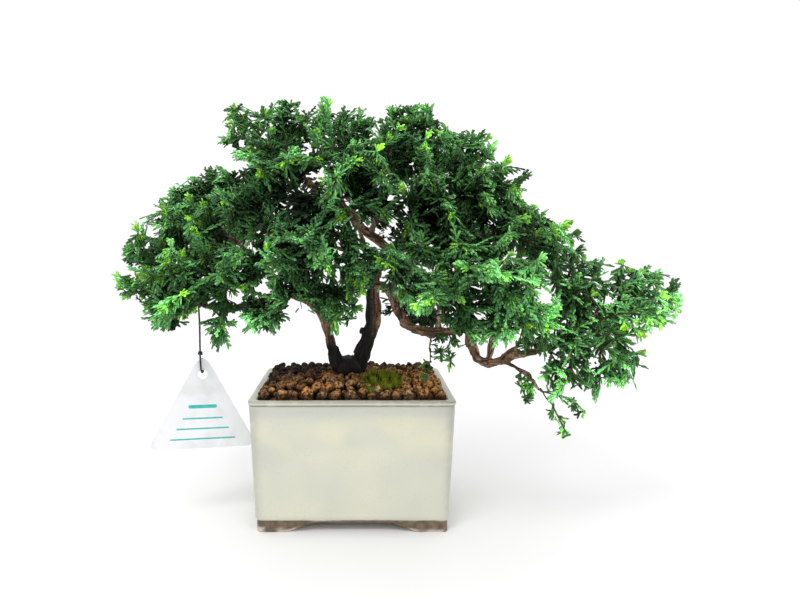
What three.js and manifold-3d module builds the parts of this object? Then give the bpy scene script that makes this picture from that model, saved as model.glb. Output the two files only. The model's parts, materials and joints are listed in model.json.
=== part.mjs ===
// A hinoki cypress bonsai in a glazed rectangular pot, in millimetres, +Z up.
// The tree is one wooden frame with its leafy sprays standing on it, each spray a solid of its own.
// It is laid out round the middle of the pot, and the finished group is moved so that the origin is the
// middle of its footprint, on the ground.
import * as THREE from "three";
import { mergeVertices } from "three/addons/utils/BufferGeometryUtils.js";
import Module from "manifold-3d";

const wasm = await Module();
wasm.setup();

// ---------- driving dimensions ----------
const POT_WIDTH = 133.5; // along X, over the rim
const POT_DEPTH = 97; // along Y, over the rim
const POT_HEIGHT = 89; // rim above the ground
const POT_CORNER = 5; // radius of the rim's corners
const POT_TAPER = 2.7; // how far each wall leans in between rim and base
const RIM_BAND = 3; // height of the band round the rim
const RIM_WIDTH = 5.5; // flat top of the rim
const INSIDE_TAPER = [5, 6.5]; // of the inside, beyond the outside's: above its floor, and on it
const FLOOR_ROUND = 6; // height of the slope between the floor and the inside walls
const FOOT_HEIGHT = 7;
const FOOT_INSET = 1.4; // of the bare clay base under the glazed wall
const ARCH_HEIGHT = 6.3; // cut through under the base both ways, which leaves four feet
const ARCH_WIDTH = [86, 58]; // seen from the front and from a side
const ARCH_FLANK = 17; // how far each flank of an arch slopes in
const FLOOR_TOP = 14; // inside floor of the pot
const DRAIN_RADIUS = 8;

const MESH_SIDE = 26; // square of plastic mesh over the drain hole
const MESH_THICK = 1;
const MESH_OPENINGS = 3; // along each side
const MESH_BAR = 2;

const SOIL_EDGE = 90.5; // soil surface at the pot's wall
const SOIL_CROWN = 93.5; // and at the trunk
const GRAIN_PITCH = 5.6; // from the top of a grain of grit to the hollow beside it
const GRAIN_RELIEF = 2.2; // most that a grain rises, or a hollow falls

const MOSS_AT = [21, -9]; // middle of the moss, beside the trunk
const MOSS_HALF = [15, 13]; // half its width and depth
const MOSS_RISE = 5;
const MOSS_DEPTH = 1.5; // of its underside

const COLLAR_AT = [-2, 9]; // where the trunks rise out of the soil
const WOOD_SWELL = 1.1; // most that a limb swells out, over its radius
const SEAT = 0.3; // clearance between two pieces that rest on each other
const SOCKET = 0.4; // clearance of the soil round the trunks

const BLADE_HALF_THICK = 0.42;
const ROOT_CLEAR = [0.5, 0.9, 1.3, 1.8, 2.4]; // from a limb to a spray's root: the first that clears it
const RIB_HALF_WIDTH = [1.0, 0.65]; // at the root and at the tip of a frond
const ARCH = 0.14; // rise of a rib over its length
const BARE_ROOT = 0.15; // share of a frond's length with no pinnae
const RIB_END = 0.87; // where the last pinnae stand
const PINNA_PITCH = 9.4; // along the rib, left and right in turn
const PINNA_ANGLE = [58, 38]; // to the rib in degrees, at its root and at its tip
const PINNA_HALF_WIDTH = [1.6, 1.1]; // at its root and at its tip
const PINNA_END = 0.62; // share of a pinna's length where its last lobe begins
const PINNA_DROOP = 0.22; // fall of its tip over its length
const LONG_PINNA = 24; // from this length on it has two pairs of side lobes
const LOBE_ANGLE = 36; // of a side lobe, to its pinna
const FROND_SHAPE = 0.74; // width of a frond over its length

const TAG_WIDTH = 71.5; // between the sharp corners of the triangular plant tag
const TAG_HEIGHT = 66;
const TAG_THICK = 0.8;
const TAG_CORNER = [12, 8]; // cut from each side of a corner by its round: at the top, and below
const TAG_LEAN = 1.5; // degrees
const TAG_TURN = 13; // degrees, its right side away from the front
const TAG_HOLE = [-98.4, -30, 102]; // middle of the hole that the cord goes through
const TAG_HOLE_RADIUS = 3.2;
const TAG_HOLE_DROP = 16; // of the hole below the sharp top corner
const HITCH = { on: "trunkLeft", at: 0.962 }; // where the cord is tied round the limb
const KNOT_AT = [-99.5, -30.3, 116.2];
const KNOT_RADIUS = [1.1, 1.6, 2]; // of its bore, its two ends and its middle
const KNOT_HALF = 1.3; // half its height
const CORD_DIAMETER = 1.3;
const CORD_SIDES = 8;
const CORD_STEPS = 20;
// From the hitch down to the knot, on in front of the tag, through its hole and up again behind it.
const CORD_ROUTE = [
  [-99.3, -30.8, 145.6], [-99.3, -30.7, 142], [-99.2, -30.5, 138], [-99.2, -30.4, 134],
  [-99.3, -30.3, 130], [-99.4, -30.2, 126], [-99.5, -30.2, 122], [-99.5, -30.2, 118],
  [-99.5, -30.4, 116], [-99.3, -31.2, 113.2], [-99, -32.1, 110.4], [-98.8, -32.5, 107.6],
  [-98.6, -32.3, 105.2], [-98.5, -30.9, 103.6], [-98.4, -29.1, 103.6], [-98.4, -27.8, 105.2],
  [-98.5, -27.4, 107.6], [-98.7, -27.5, 110], [-98.9, -28.2, 112.4],
];

// ---------- small tools ----------
const vec = (x, y, z) => new THREE.Vector3(x, y, z);
const lerp = THREE.MathUtils.lerp;
const rad = THREE.MathUtils.degToRad;

// The same run of numbers from 0 to 1 for the same seed.
function seededRandom(seed) {
  let state = seed >>> 0;
  return () => {
    state = (state + 0x6d2b79f5) >>> 0;
    let t = state;
    t = Math.imul(t ^ (t >>> 15), t | 1);
    t ^= t + Math.imul(t ^ (t >>> 7), t | 61);
    return ((t ^ (t >>> 14)) >>> 0) / 4294967296;
  };
}

function solidFrom(positions, faces) {
  return new wasm.Manifold(
    new wasm.Mesh({
      numProp: 3,
      vertProperties: new Float32Array(positions),
      triVerts: new Uint32Array(faces),
    }),
  );
}

function solidOf(geometry) {
  const bare = geometry.index ? geometry.toNonIndexed() : geometry.clone();
  bare.deleteAttribute("normal");
  bare.deleteAttribute("uv");
  const merged = mergeVertices(bare, 1e-3);
  return solidFrom(merged.attributes.position.array, merged.index.array);
}

function geometryOf(solid) {
  const mesh = solid.getMesh();
  const positions = [];
  for (let i = 0; i < mesh.numVert; i++) {
    positions.push(...mesh.vertProperties.subarray(i * mesh.numProp, i * mesh.numProp + 3));
  }
  const geometry = new THREE.BufferGeometry()
    .setAttribute("position", new THREE.Float32BufferAttribute(positions, 3))
    .setIndex([...mesh.triVerts]);
  geometry.computeVertexNormals();
  return geometry;
}

// The largest of a solid's separate bodies.
function mainBody(solid) {
  return solid.decompose().reduce((a, b) => (b.volume() > a.volume() ? b : a));
}

// A closed skin through rings of equal length. Each ring runs anticlockwise seen from its far end.
function loft(rings) {
  const count = rings[0].length;
  const positions = rings.flat().flatMap((p) => [p.x, p.y, p.z]);
  const faces = [];
  for (let r = 0; r + 1 < rings.length; r++) {
    for (let i = 0; i < count; i++) {
      const a = r * count + i;
      const b = r * count + ((i + 1) % count);
      faces.push(a, b, b + count, a, b + count, a + count);
    }
  }
  const last = (rings.length - 1) * count;
  for (let i = 1; i + 1 < count; i++) {
    faces.push(0, i + 1, i, last, last + i, last + i + 1);
  }
  return solidFrom(positions, faces);
}

// ---------- materials ----------
const glaze = new THREE.MeshStandardMaterial({ color: 0xd5d4c2, roughness: 0.3 });
const grit = new THREE.MeshStandardMaterial({ color: 0x7a4a2b, roughness: 0.95 });
const mossGreen = new THREE.MeshStandardMaterial({ color: 0x6b8a1e, roughness: 1 });
const bark = new THREE.MeshStandardMaterial({ color: 0x6b4a35, roughness: 0.9 });
const leaf = new THREE.MeshStandardMaterial({ color: 0x1e6b34, roughness: 0.65 });
const tagWhite = new THREE.MeshStandardMaterial({ color: 0xe9ebee, roughness: 0.35 });
const darkPlastic = new THREE.MeshStandardMaterial({ color: 0x2f3133, roughness: 0.6 });

const group = new THREE.Group();

function place(name, solid, material) {
  const mesh = new THREE.Mesh(geometryOf(solid), material.clone());
  mesh.name = name;
  group.add(mesh);
}

// ---------- pot ----------
// A rectangle with round corners at height z, its sides moved in from the rim's by inset.
function potRing(inset, z) {
  const halfWidth = POT_WIDTH / 2 - inset;
  const halfDepth = POT_DEPTH / 2 - inset;
  const radius = Math.max(POT_CORNER - inset * 0.4, 2);
  const corner = 3; // steps round each corner
  const ring = [];
  [[1, 1], [-1, 1], [-1, -1], [1, -1]].forEach(([sx, sy], quarter) => {
    for (let i = 0; i <= corner; i++) {
      const angle = ((quarter + i / corner) * Math.PI) / 2;
      const x = sx * (halfWidth - radius) + radius * Math.cos(angle);
      const y = sy * (halfDepth - radius) + radius * Math.sin(angle);
      ring.push(vec(x, y, z));
    }
  });
  return ring;
}

function makePot() {
  const wallTop = POT_HEIGHT - RIM_BAND;
  const outside = loft([
    potRing(POT_TAPER + FOOT_INSET, FOOT_HEIGHT),
    potRing(POT_TAPER + 0.2, FOOT_HEIGHT + 3),
    potRing(POT_TAPER, FOOT_HEIGHT + 12),
    potRing(0.5, wallTop - 1),
    potRing(0.9, wallTop),
    potRing(0, wallTop + 0.5),
    potRing(0, POT_HEIGHT - 0.7),
    potRing(0.7, POT_HEIGHT),
    potRing(RIM_WIDTH - 0.6, POT_HEIGHT),
  ]);
  const inside = loft([
    potRing(POT_TAPER + INSIDE_TAPER[1], FLOOR_TOP),
    potRing(POT_TAPER + INSIDE_TAPER[0], FLOOR_TOP + FLOOR_ROUND),
    potRing(RIM_WIDTH, POT_HEIGHT - 1),
    potRing(RIM_WIDTH - 0.7, POT_HEIGHT + 0.1),
  ]);
  const base = loft([
    potRing(POT_TAPER + FOOT_INSET, 0),
    potRing(POT_TAPER + FOOT_INSET, FOOT_HEIGHT + 0.5),
  ]);
  const drain = new THREE.CylinderGeometry(DRAIN_RADIUS, DRAIN_RADIUS, FLOOR_TOP * 2, 16);
  drain.rotateX(Math.PI / 2);
  drain.translate(0, 0, FLOOR_TOP);
  return base
    .subtract(archPrism(ARCH_WIDTH[0], 0))
    .subtract(archPrism(ARCH_WIDTH[1], Math.PI / 2))
    .add(outside)
    .subtract(inside)
    .subtract(solidOf(drain));
}

// A long prism with sloping flanks, which cuts the arches of two opposite sides.
function archPrism(width, turn) {
  const length = POT_WIDTH + 10;
  const shape = new THREE.Shape([
    new THREE.Vector2(-width / 2 - ARCH_FLANK / ARCH_HEIGHT, -1),
    new THREE.Vector2(width / 2 + ARCH_FLANK / ARCH_HEIGHT, -1),
    new THREE.Vector2(width / 2 - ARCH_FLANK, ARCH_HEIGHT),
    new THREE.Vector2(-width / 2 + ARCH_FLANK, ARCH_HEIGHT),
  ]);
  const prism = new THREE.ExtrudeGeometry(shape, { depth: length, bevelEnabled: false });
  prism.translate(0, 0, -length / 2);
  prism.rotateX(Math.PI / 2);
  prism.rotateZ(turn);
  return solidOf(prism);
}

function makeDrainMesh() {
  const middle = FLOOR_TOP + SEAT + MESH_THICK / 2;
  const sheet = new THREE.BoxGeometry(MESH_SIDE, MESH_SIDE, MESH_THICK).translate(0, 0, middle);
  const pitch = (MESH_SIDE - MESH_BAR) / MESH_OPENINGS;
  const first = -MESH_SIDE / 2 + MESH_BAR / 2 + pitch / 2;
  let mesh = solidOf(sheet);
  for (let i = 0; i < MESH_OPENINGS; i++) {
    for (let j = 0; j < MESH_OPENINGS; j++) {
      const opening = new THREE.BoxGeometry(pitch - MESH_BAR, pitch - MESH_BAR, 9);
      opening.translate(first + i * pitch, first + j * pitch, middle);
      mesh = mesh.subtract(solidOf(opening));
    }
  }
  return mesh;
}

// ---------- soil ----------
// The height of the soil before the grains are raised: a low mound round the trunk.
function moundHeight(x, y) {
  const away = Math.hypot((x - COLLAR_AT[0]) / POT_WIDTH, (y - COLLAR_AT[1]) / POT_DEPTH);
  return lerp(SOIL_CROWN, SOIL_EDGE, THREE.MathUtils.smoothstep(away, 0.06, 0.5));
}

// The grit is a block that fills the pot, its top raised in one peak for each grain.
function makeSoil(trunkRoom, mossRoom) {
  const random = seededRandom(7);
  const halfWidth = POT_WIDTH / 2 - RIM_WIDTH + 1;
  const halfDepth = POT_DEPTH / 2 - RIM_WIDTH + 1;
  const across = Math.round((2 * halfWidth) / GRAIN_PITCH);
  const along = Math.round((2 * halfDepth) / GRAIN_PITCH);
  const positions = [];
  const faces = [];
  const addPoint = (x, y, z) => positions.push(x, y, z) / 3 - 1;
  const grid = [];
  for (let j = 0; j <= along; j++) {
    grid.push([]);
    for (let i = 0; i <= across; i++) {
      const x = lerp(-halfWidth, halfWidth, i / across);
      const y = lerp(-halfDepth, halfDepth, j / along);
      const inner = i > 0 && i < across && j > 0 && j < along;
      const stray = () => (inner ? (random() - 0.5) * GRAIN_PITCH * 0.45 : 0);
      const relief = ((i + j) % 2 === 0 ? 1 : -1) * GRAIN_RELIEF * (0.5 + 0.5 * random());
      grid[j].push(addPoint(x + stray(), y + stray(), moundHeight(x, y) + relief));
    }
  }
  for (let j = 0; j < along; j++) {
    for (let i = 0; i < across; i++) {
      const [a, b, c, d] = [grid[j][i], grid[j][i + 1], grid[j + 1][i + 1], grid[j + 1][i]];
      // The diagonal runs between the two hollows, so that each peak keeps its four sides.
      if ((i + j) % 2 === 0) faces.push(a, b, d, b, c, d);
      else faces.push(a, b, c, a, c, d);
    }
  }
  const edge = [];
  for (let i = 0; i < across; i++) edge.push(grid[0][i]);
  for (let j = 0; j < along; j++) edge.push(grid[j][across]);
  for (let i = across; i > 0; i--) edge.push(grid[along][i]);
  for (let j = along; j > 0; j--) edge.push(grid[j][0]);
  const low = edge.map((i) => addPoint(positions[i * 3], positions[i * 3 + 1], FLOOR_TOP));
  const middle = addPoint(0, 0, FLOOR_TOP);
  edge.forEach((corner, k) => {
    const next = (k + 1) % edge.length;
    faces.push(corner, low[k], low[next], corner, low[next], edge[next], middle, low[next], low[k]);
  });
  const cavity = loft([
    potRing(POT_TAPER + INSIDE_TAPER[1] + SEAT, FLOOR_TOP + SEAT),
    potRing(POT_TAPER + INSIDE_TAPER[0] + SEAT, FLOOR_TOP + FLOOR_ROUND),
    potRing(RIM_WIDTH + SEAT, POT_HEIGHT + 9),
  ]);
  const meshRoomSide = MESH_SIDE + 2 * SEAT;
  const meshRoom = new THREE.BoxGeometry(meshRoomSide, meshRoomSide, 2 * (MESH_THICK + 2 * SEAT));
  meshRoom.translate(0, 0, FLOOR_TOP);
  const block = solidFrom(positions, faces).intersect(cavity).subtract(solidOf(meshRoom));
  return mainBody(block.subtract(trunkRoom).subtract(mossRoom));
}

// ---------- moss ----------
// A low cushion with an uneven back, grown by clear to give the room that it lies in.
function makeMoss(clear) {
  const random = seededRandom(21);
  const dome = new THREE.IcosahedronGeometry(1, 2);
  dome.deleteAttribute("normal");
  dome.deleteAttribute("uv");
  const cushion = mergeVertices(dome, 1e-3);
  const points = cushion.attributes.position;
  for (let i = 0; i < points.count; i++) {
    const bump = 1 + (random() - 0.5) * 0.22;
    const x = points.getX(i) * (MOSS_HALF[0] + clear) * bump;
    const y = points.getY(i) * (MOSS_HALF[1] + clear) * bump;
    const z = points.getZ(i) * (points.getZ(i) > 0 ? MOSS_RISE * bump + clear : MOSS_DEPTH + clear);
    points.setXYZ(i, MOSS_AT[0] + x, MOSS_AT[1] + y, SOIL_CROWN - 2 + z - 0.12 * Math.hypot(x, y));
  }
  return solidOf(cushion);
}

// ---------- wood ----------
// Each limb runs through [x, y, z, radius], and sides is the number of its faces round.
const LIMBS = {
  collar: { sides: 8, steps: 4, through: [
    [-2, 9, 69, 6], [-2, 9, 82, 9.5], [-2, 9, 96, 10.4], [-3, 9, 105.5, 6.5]] },
  trunkLeft: { sides: 7, steps: 13, through: [
    [-6, 9, 88, 4.4], [-9, 8.5, 98, 4.6], [-13.5, 7, 108, 4.2], [-17, 3, 122, 3.3],
    [-19, -3, 135, 3.4], [-26, -8, 146, 3.3], [-35, -12, 151, 3], [-46, -16, 154, 2.6], [-62, -22, 149, 2.2],
    [-77, -26, 145, 2.1], [-92, -28, 146, 1.6], [-102, -32, 151, 1]] },
  trunkRight: { sides: 7, steps: 9, through: [
    [2, 10, 88, 5], [3.6, 10, 99, 5.7], [7, 10, 110, 5.4], [12, 10, 122, 4.4], [15.8, 9, 134, 5.4],
    [14, 8, 145, 4.7], [15, 8, 158, 3.4], [19, 5, 172, 3.1], [24, 2, 184, 2.8]] },
  upperLimb: { sides: 6, steps: 6, through: [
    [24, 2, 184, 2.8], [11, 0, 194, 2.8], [0, -4, 204, 2.7], [-7, -6, 215, 2.4], [-10, -9, 225, 1.7],
    [-9, -15, 235, 1]] },
  rightLimb: { sides: 6, steps: 9, through: [
    [15, 8, 157, 3], [24, 0, 157, 3], [29, -8, 148, 3], [34, -14, 136, 3.2], [43, -18, 130, 3.4],
    [54, -22, 128.5, 3.2], [64, -27, 130, 3.1], [74, -32, 134, 2.9]] },
  lowLimb: { sides: 6, steps: 12, through: [
    [73, -31, 147, 2.9], [74.5, -33, 138, 3.3], [76, -36, 128, 3], [78, -39, 118, 2.8], [85, -42, 112, 3],
    [96, -46, 115, 2.6], [106, -48, 120, 2.2], [117, -50, 122, 1.9], [128, -54, 129, 1.6],
    [138, -60, 138, 1.3], [146, -63, 147, 0.9]] },
  frontRise: { sides: 5, steps: 4, through: [
    [86, -42, 112, 2.2], [88, -44, 126, 1.9], [88, -50, 141, 1.6], [84, -64, 157, 1.2],
    [76, -70, 169, 0.9]] },
  innerRise: { sides: 5, steps: 4, through: [
    [58, -24, 131, 1.7], [55, -36, 147, 1.5], [52, -48, 159, 1.3], [46, -62, 169, 0.9]] },
  hanging: { sides: 5, steps: 4, through: [
    [96, -46, 114, 1.6], [108, -51, 108, 1.2], [116, -54, 98, 0.8]] },
  brokenEnd: { sides: 5, steps: 1, through: [
    [95, -46, 116, 2.1], [103, -48, 122.5, 1.7]] },
  knob: { sides: 5, steps: 1, through: [
    [11, 9, 123, 3], [6.2, 8, 125.3, 1.5]] },
  leftRise: { sides: 5, steps: 4, through: [
    [-46, -16, 154, 2], [-60, -7, 169, 1.8], [-76, 3, 184, 1.5], [-92, 9, 196, 0.9]] },
  leftInner: { sides: 5, steps: 3, through: [
    [-34, -12, 150, 1.9], [-43, -10, 167, 1.7], [-53, -9, 185, 1.4], [-58, -12, 199, 0.9]] },
  centreRise: { sides: 5, steps: 3, through: [
    [-26, -8, 146, 1.9], [-27, -22, 157, 1.6], [-23, -36, 167, 1.4], [-17, -48, 175, 0.9]] },
  topLeft: { sides: 5, steps: 3, through: [
    [0, -4, 204, 1.9], [-15, -3, 216, 1.6], [-29, -1, 228, 1.3], [-42, 0, 239, 0.9]] },
  topRight: { sides: 5, steps: 3, through: [
    [12, 0, 193, 1.9], [19, 8, 209, 1.6], [26, 14, 225, 1.3], [30, 18, 241, 0.9]] },
  upperRight: { sides: 5, steps: 4, through: [
    [23, 2, 182, 2.2], [39, 4, 195, 2], [56, 5, 207, 1.6], [74, 4, 221, 0.9]] },
  rightMid: { sides: 5, steps: 4, through: [
    [38, 4, 194, 1.9], [60, 1, 194, 1.6], [83, -3, 193, 1.4], [106, -6, 193, 0.9]] },
  backMid: { sides: 5, steps: 4, through: [
    [15, 8, 158, 2.2], [14, 27, 173, 1.9], [8, 46, 188, 1.5], [2, 62, 202, 0.9]] },
  backLeft: { sides: 5, steps: 3, through: [
    [13, 30, 175, 1.8], [-14, 42, 184, 1.5], [-42, 52, 190, 1.3], [-68, 58, 194, 0.9]] },
  backRight: { sides: 5, steps: 3, through: [
    [19, 6, 172, 2], [37, 24, 181, 1.6], [56, 42, 187, 1.3], [76, 56, 191, 0.9]] },
  sprigStem: { sides: 4, steps: 2, through: [
    [53, -21, 128, 1.2], [52, -23, 123, 1], [51, -25, 118, 0.8]] },
};

const limbCurves = Object.fromEntries(
  Object.entries(LIMBS).map(([name, limb]) => [
    name,
    new THREE.CatmullRomCurve3(limb.through.map(([x, y, z]) => vec(x, y, z)), false, "centripetal"),
  ]),
);

function limbRadius(name, u) {
  const { through } = LIMBS[name];
  const at = u * (through.length - 1);
  const i = Math.min(Math.floor(at), through.length - 2);
  return lerp(through[i][3], through[i + 1][3], at - i);
}

// A limb as a tapering tube. Its faces are flattened and swollen a little, as old wood is.
function makeLimb(name, grow = 0) {
  const { sides, steps } = LIMBS[name];
  const curve = limbCurves[name];
  const random = seededRandom(name.length * 131 + steps);
  let across = vec(0, -1, 0.2);
  const rings = [];
  for (let k = 0; k <= steps; k++) {
    const u = k / steps;
    const centre = curve.getPoint(u);
    const along = curve.getTangent(u);
    across = across.clone().addScaledVector(along, -across.dot(along)).normalize();
    const over = along.clone().cross(across);
    const radius = limbRadius(name, u) + grow;
    const ring = [];
    for (let i = 0; i < sides; i++) {
      const angle = (i / sides) * 2 * Math.PI;
      const swell = radius * (1 + (random() * 2 - 1) * (WOOD_SWELL - 1));
      const spoke = across.clone().multiplyScalar(Math.cos(angle)).addScaledVector(over, Math.sin(angle));
      ring.push(centre.clone().addScaledVector(spoke, swell));
    }
    rings.push(ring);
  }
  return loft(rings);
}

function makeWood() {
  const limbs = Object.keys(LIMBS).map((name) => makeLimb(name));
  return limbs.reduce((wood, limb) => wood.add(limb));
}

// ---------- sprays ----------
// Each spray stands on a limb at a share of its length, and its fronds end at the tips. Its turn is in
// degrees about the ribs of its fronds. Two fronds of one spray are fused at their root. The fronds of a
// hanging spray are slimmer, by its slim.
const SPRAYS = [
  { on: "trunkLeft", at: 1, turn: -75, tips: [[-150, -18, 186], [-146, -48, 161], [-123, -38, 138]] },
  { on: "trunkLeft", at: 0.93, turn: 75, tips: [[-110, -74, 151]] },
  { on: "trunkLeft", at: 0.84, turn: 15, tips: [[-112, -66, 179], [-76, -66, 177]] },
  { on: "trunkLeft", at: 0.89, turn: 45, slim: 0.6, tips: [[-82, -46, 130]] },
  { on: "trunkLeft", at: 0.74, turn: -30, tips: [[-52, -52, 143]] },
  { on: "trunkLeft", at: 0.92, turn: -45, tips: [[-134, 28, 161]] },
  { on: "leftRise", at: 1, turn: -30, tips: [[-128, 2, 219], [-104, 10, 231]] },
  { on: "leftRise", at: 0.78, turn: -60, tips: [[-122, -28, 201], [-96, -46, 193]] },
  { on: "leftRise", at: 0.78, turn: -30, tips: [[-86, 16, 239]] },
  { on: "leftRise", at: 0.86, turn: 75, tips: [[-138, 42, 193]] },
  { on: "leftInner", at: 1, turn: 0, tips: [[-80, -40, 213], [-54, -30, 225]] },
  { on: "leftInner", at: 0.6, turn: -75, tips: [[-62, -58, 175], [-36, -58, 193]] },
  { on: "leftInner", at: 0.85, turn: -15, tips: [[-72, 24, 229]] },
  { on: "centreRise", at: 1, turn: -45, tips: [[-48, -78, 177], [-18, -90, 187]] },
  { on: "centreRise", at: 0.88, turn: 30, tips: [[10, -80, 168], [8, -64, 188]] },
  { on: "centreRise", at: 0.66, turn: 0, tips: [[-40, -64, 151], [-4, -60, 143]] },
  { on: "topLeft", at: 1, turn: -45, tips: [[-84, -8, 269], [-49, 4, 281]] },
  { on: "topLeft", at: 0.7, turn: 0, tips: [[-68, -38, 241], [-34, -48, 239]] },
  { on: "topLeft", at: 0.84, turn: -30, tips: [[-64, 44, 261]] },
  { on: "upperLimb", at: 1, turn: 15, tips: [[-22, -16, 277], [6, -6, 271]] },
  { on: "upperLimb", at: 0.86, turn: 60, tips: [[-8, -66, 225], [20, -56, 229]] },
  { on: "upperLimb", at: 0.66, turn: -30, tips: [[-30, -60, 203], [10, -66, 207]] },
  { on: "topRight", at: 1, turn: -75, tips: [[58, 14, 275], [28, 18, 279]] },
  { on: "topRight", at: 0.86, turn: 60, tips: [[50, -34, 241], [16, -34, 253]] },
  { on: "topRight", at: 0.72, turn: -75, tips: [[34, 74, 259]] },
  { on: "upperRight", at: 1, turn: 0, tips: [[86, 8, 263], [56, -10, 261]] },
  { on: "upperRight", at: 0.8, turn: 60, tips: [[106, -32, 223], [84, -44, 217]] },
  { on: "upperRight", at: 0.62, turn: -75, tips: [[56, -56, 213], [32, -62, 197]] },
  { on: "upperRight", at: 0.78, turn: 30, tips: [[110, 60, 233]] },
  { on: "rightMid", at: 1, turn: 30, tips: [[154, -12, 179], [138, 8, 205]] },
  { on: "rightMid", at: 0.84, turn: 60, tips: [[128, -50, 179], [92, -60, 191]] },
  { on: "rightMid", at: 0.5, turn: 0, tips: [[72, -60, 184], [50, -64, 170]] },
  { on: "rightMid", at: 0.84, turn: 60, tips: [[146, 44, 185]] },
  { on: "frontRise", at: 1, turn: 30, tips: [[98, -106, 171], [66, -112, 177]] },
  { on: "frontRise", at: 0.8, turn: 30, tips: [[112, -86, 141], [84, -98, 142]] },
  { on: "innerRise", at: 1, turn: 0, tips: [[20, -100, 175], [42, -112, 159]] },
  { on: "innerRise", at: 0.8, turn: 15, tips: [[66, -88, 146]] },
  { on: "lowLimb", at: 1, turn: 0, tips: [[194, -62, 157], [178, -54, 173]] },
  { on: "lowLimb", at: 0.94, turn: -15, tips: [[172, -92, 151]] },
  { on: "lowLimb", at: 0.88, turn: 45, tips: [[163, -75, 114], [150, -66, 108]] },
  { on: "lowLimb", at: 0.9, turn: -30, tips: [[136, -42, 177], [126, -72, 167]] },
  { on: "lowLimb", at: 0.83, turn: 0, tips: [[178, -14, 137]] },
  { on: "lowLimb", at: 0.72, turn: 0, tips: [[124, -82, 107], [130, -80, 135]] },
  { on: "hanging", at: 1, turn: -45, slim: 0.55, tips: [[133, -62, 69], [146, -57, 85]] },
  { on: "hanging", at: 0.3, turn: -60, slim: 0.55, tips: [[107, -57, 90], [115, -50, 92]] },
  { on: "sprigStem", at: 1, turn: 0, slim: 0.6, tips: [[47, -34, 98], [66, -39, 108]] },
  { on: "backMid", at: 1, turn: 60, tips: [[-14, 94, 247], [24, 102, 211]] },
  { on: "backLeft", at: 1, turn: 15, tips: [[-112, 82, 203], [-114, 66, 173]] },
  { on: "backLeft", at: 0.55, turn: -60, tips: [[-46, 100, 207]] },
  { on: "backRight", at: 1, turn: -45, tips: [[118, 82, 189], [92, 92, 215]] },
  { on: "backRight", at: 0.6, turn: 0, tips: [[60, 84, 169]] },
];

// The skin of one blade. A port is four corners of a face, anticlockwise seen from outside, that is
// still open: it is closed flat, drawn out to a point, or carried on to a further ring.
class Blade {
  positions = [];
  faces = [];

  corner(point) {
    this.positions.push(point.x, point.y, point.z);
    return this.positions.length / 3 - 1;
  }

  centre(port) {
    const sum = vec(0, 0, 0);
    port.forEach((i) => sum.add(new THREE.Vector3().fromArray(this.positions, i * 3)));
    return sum.divideScalar(port.length);
  }

  close([a, b, c, d]) {
    this.faces.push(a, b, c, a, c, d);
  }

  point(port, apex) {
    const tip = this.corner(apex);
    port.forEach((corner, i) => this.faces.push(corner, port[(i + 1) % 4], tip));
  }

  // Carries a port on to four new corners, and gives the four walls between as new ports.
  carry(port, corners) {
    const ring = corners.map((p) => this.corner(p));
    const walls = port.map((corner, i) => [corner, port[(i + 1) % 4], ring[(i + 1) % 4], ring[i]]);
    return { ring, walls };
  }
}

// One pinna: a narrow blade with a pointed lobe on each side of each of its lengths and one at its end.
function growPinna(blade, port, pinna, grow) {
  const { out, lead, up, side, length, lengths, lobe } = pinna;
  const base = blade.centre(port);
  const order = [[-1, -side], [-1, side], [1, side], [1, -side]];
  const reachTo = (share) =>
    base.clone()
      .addScaledVector(out, length * share)
      .addScaledVector(up, -length * PINNA_DROOP * share * share);
  let open = port;
  for (let k = 1; k <= lengths; k++) {
    const share = (PINNA_END * k) / lengths;
    const middle = reachTo(share);
    const halfWidth = lerp(...PINNA_HALF_WIDTH, share) + grow;
    const corners = order.map(([ahead, above]) =>
      middle.clone()
        .addScaledVector(lead, ahead * halfWidth)
        .addScaledVector(up, above * (BLADE_HALF_THICK + grow)));
    const { ring, walls } = blade.carry(open, corners);
    blade.close(walls[1]);
    blade.close(walls[3]);
    [[walls[0], -1], [walls[2], 1]].forEach(([wall, ahead]) => {
      const apex = blade.centre(wall)
        .addScaledVector(out, Math.cos(rad(LOBE_ANGLE)) * (lobe + grow))
        .addScaledVector(lead, ahead * Math.sin(rad(LOBE_ANGLE)) * (lobe + grow))
        .addScaledVector(up, -0.12 * lobe);
      blade.point(wall, apex);
    });
    open = ring;
  }
  blade.point(open, reachTo(1 + grow / length));
}

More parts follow.
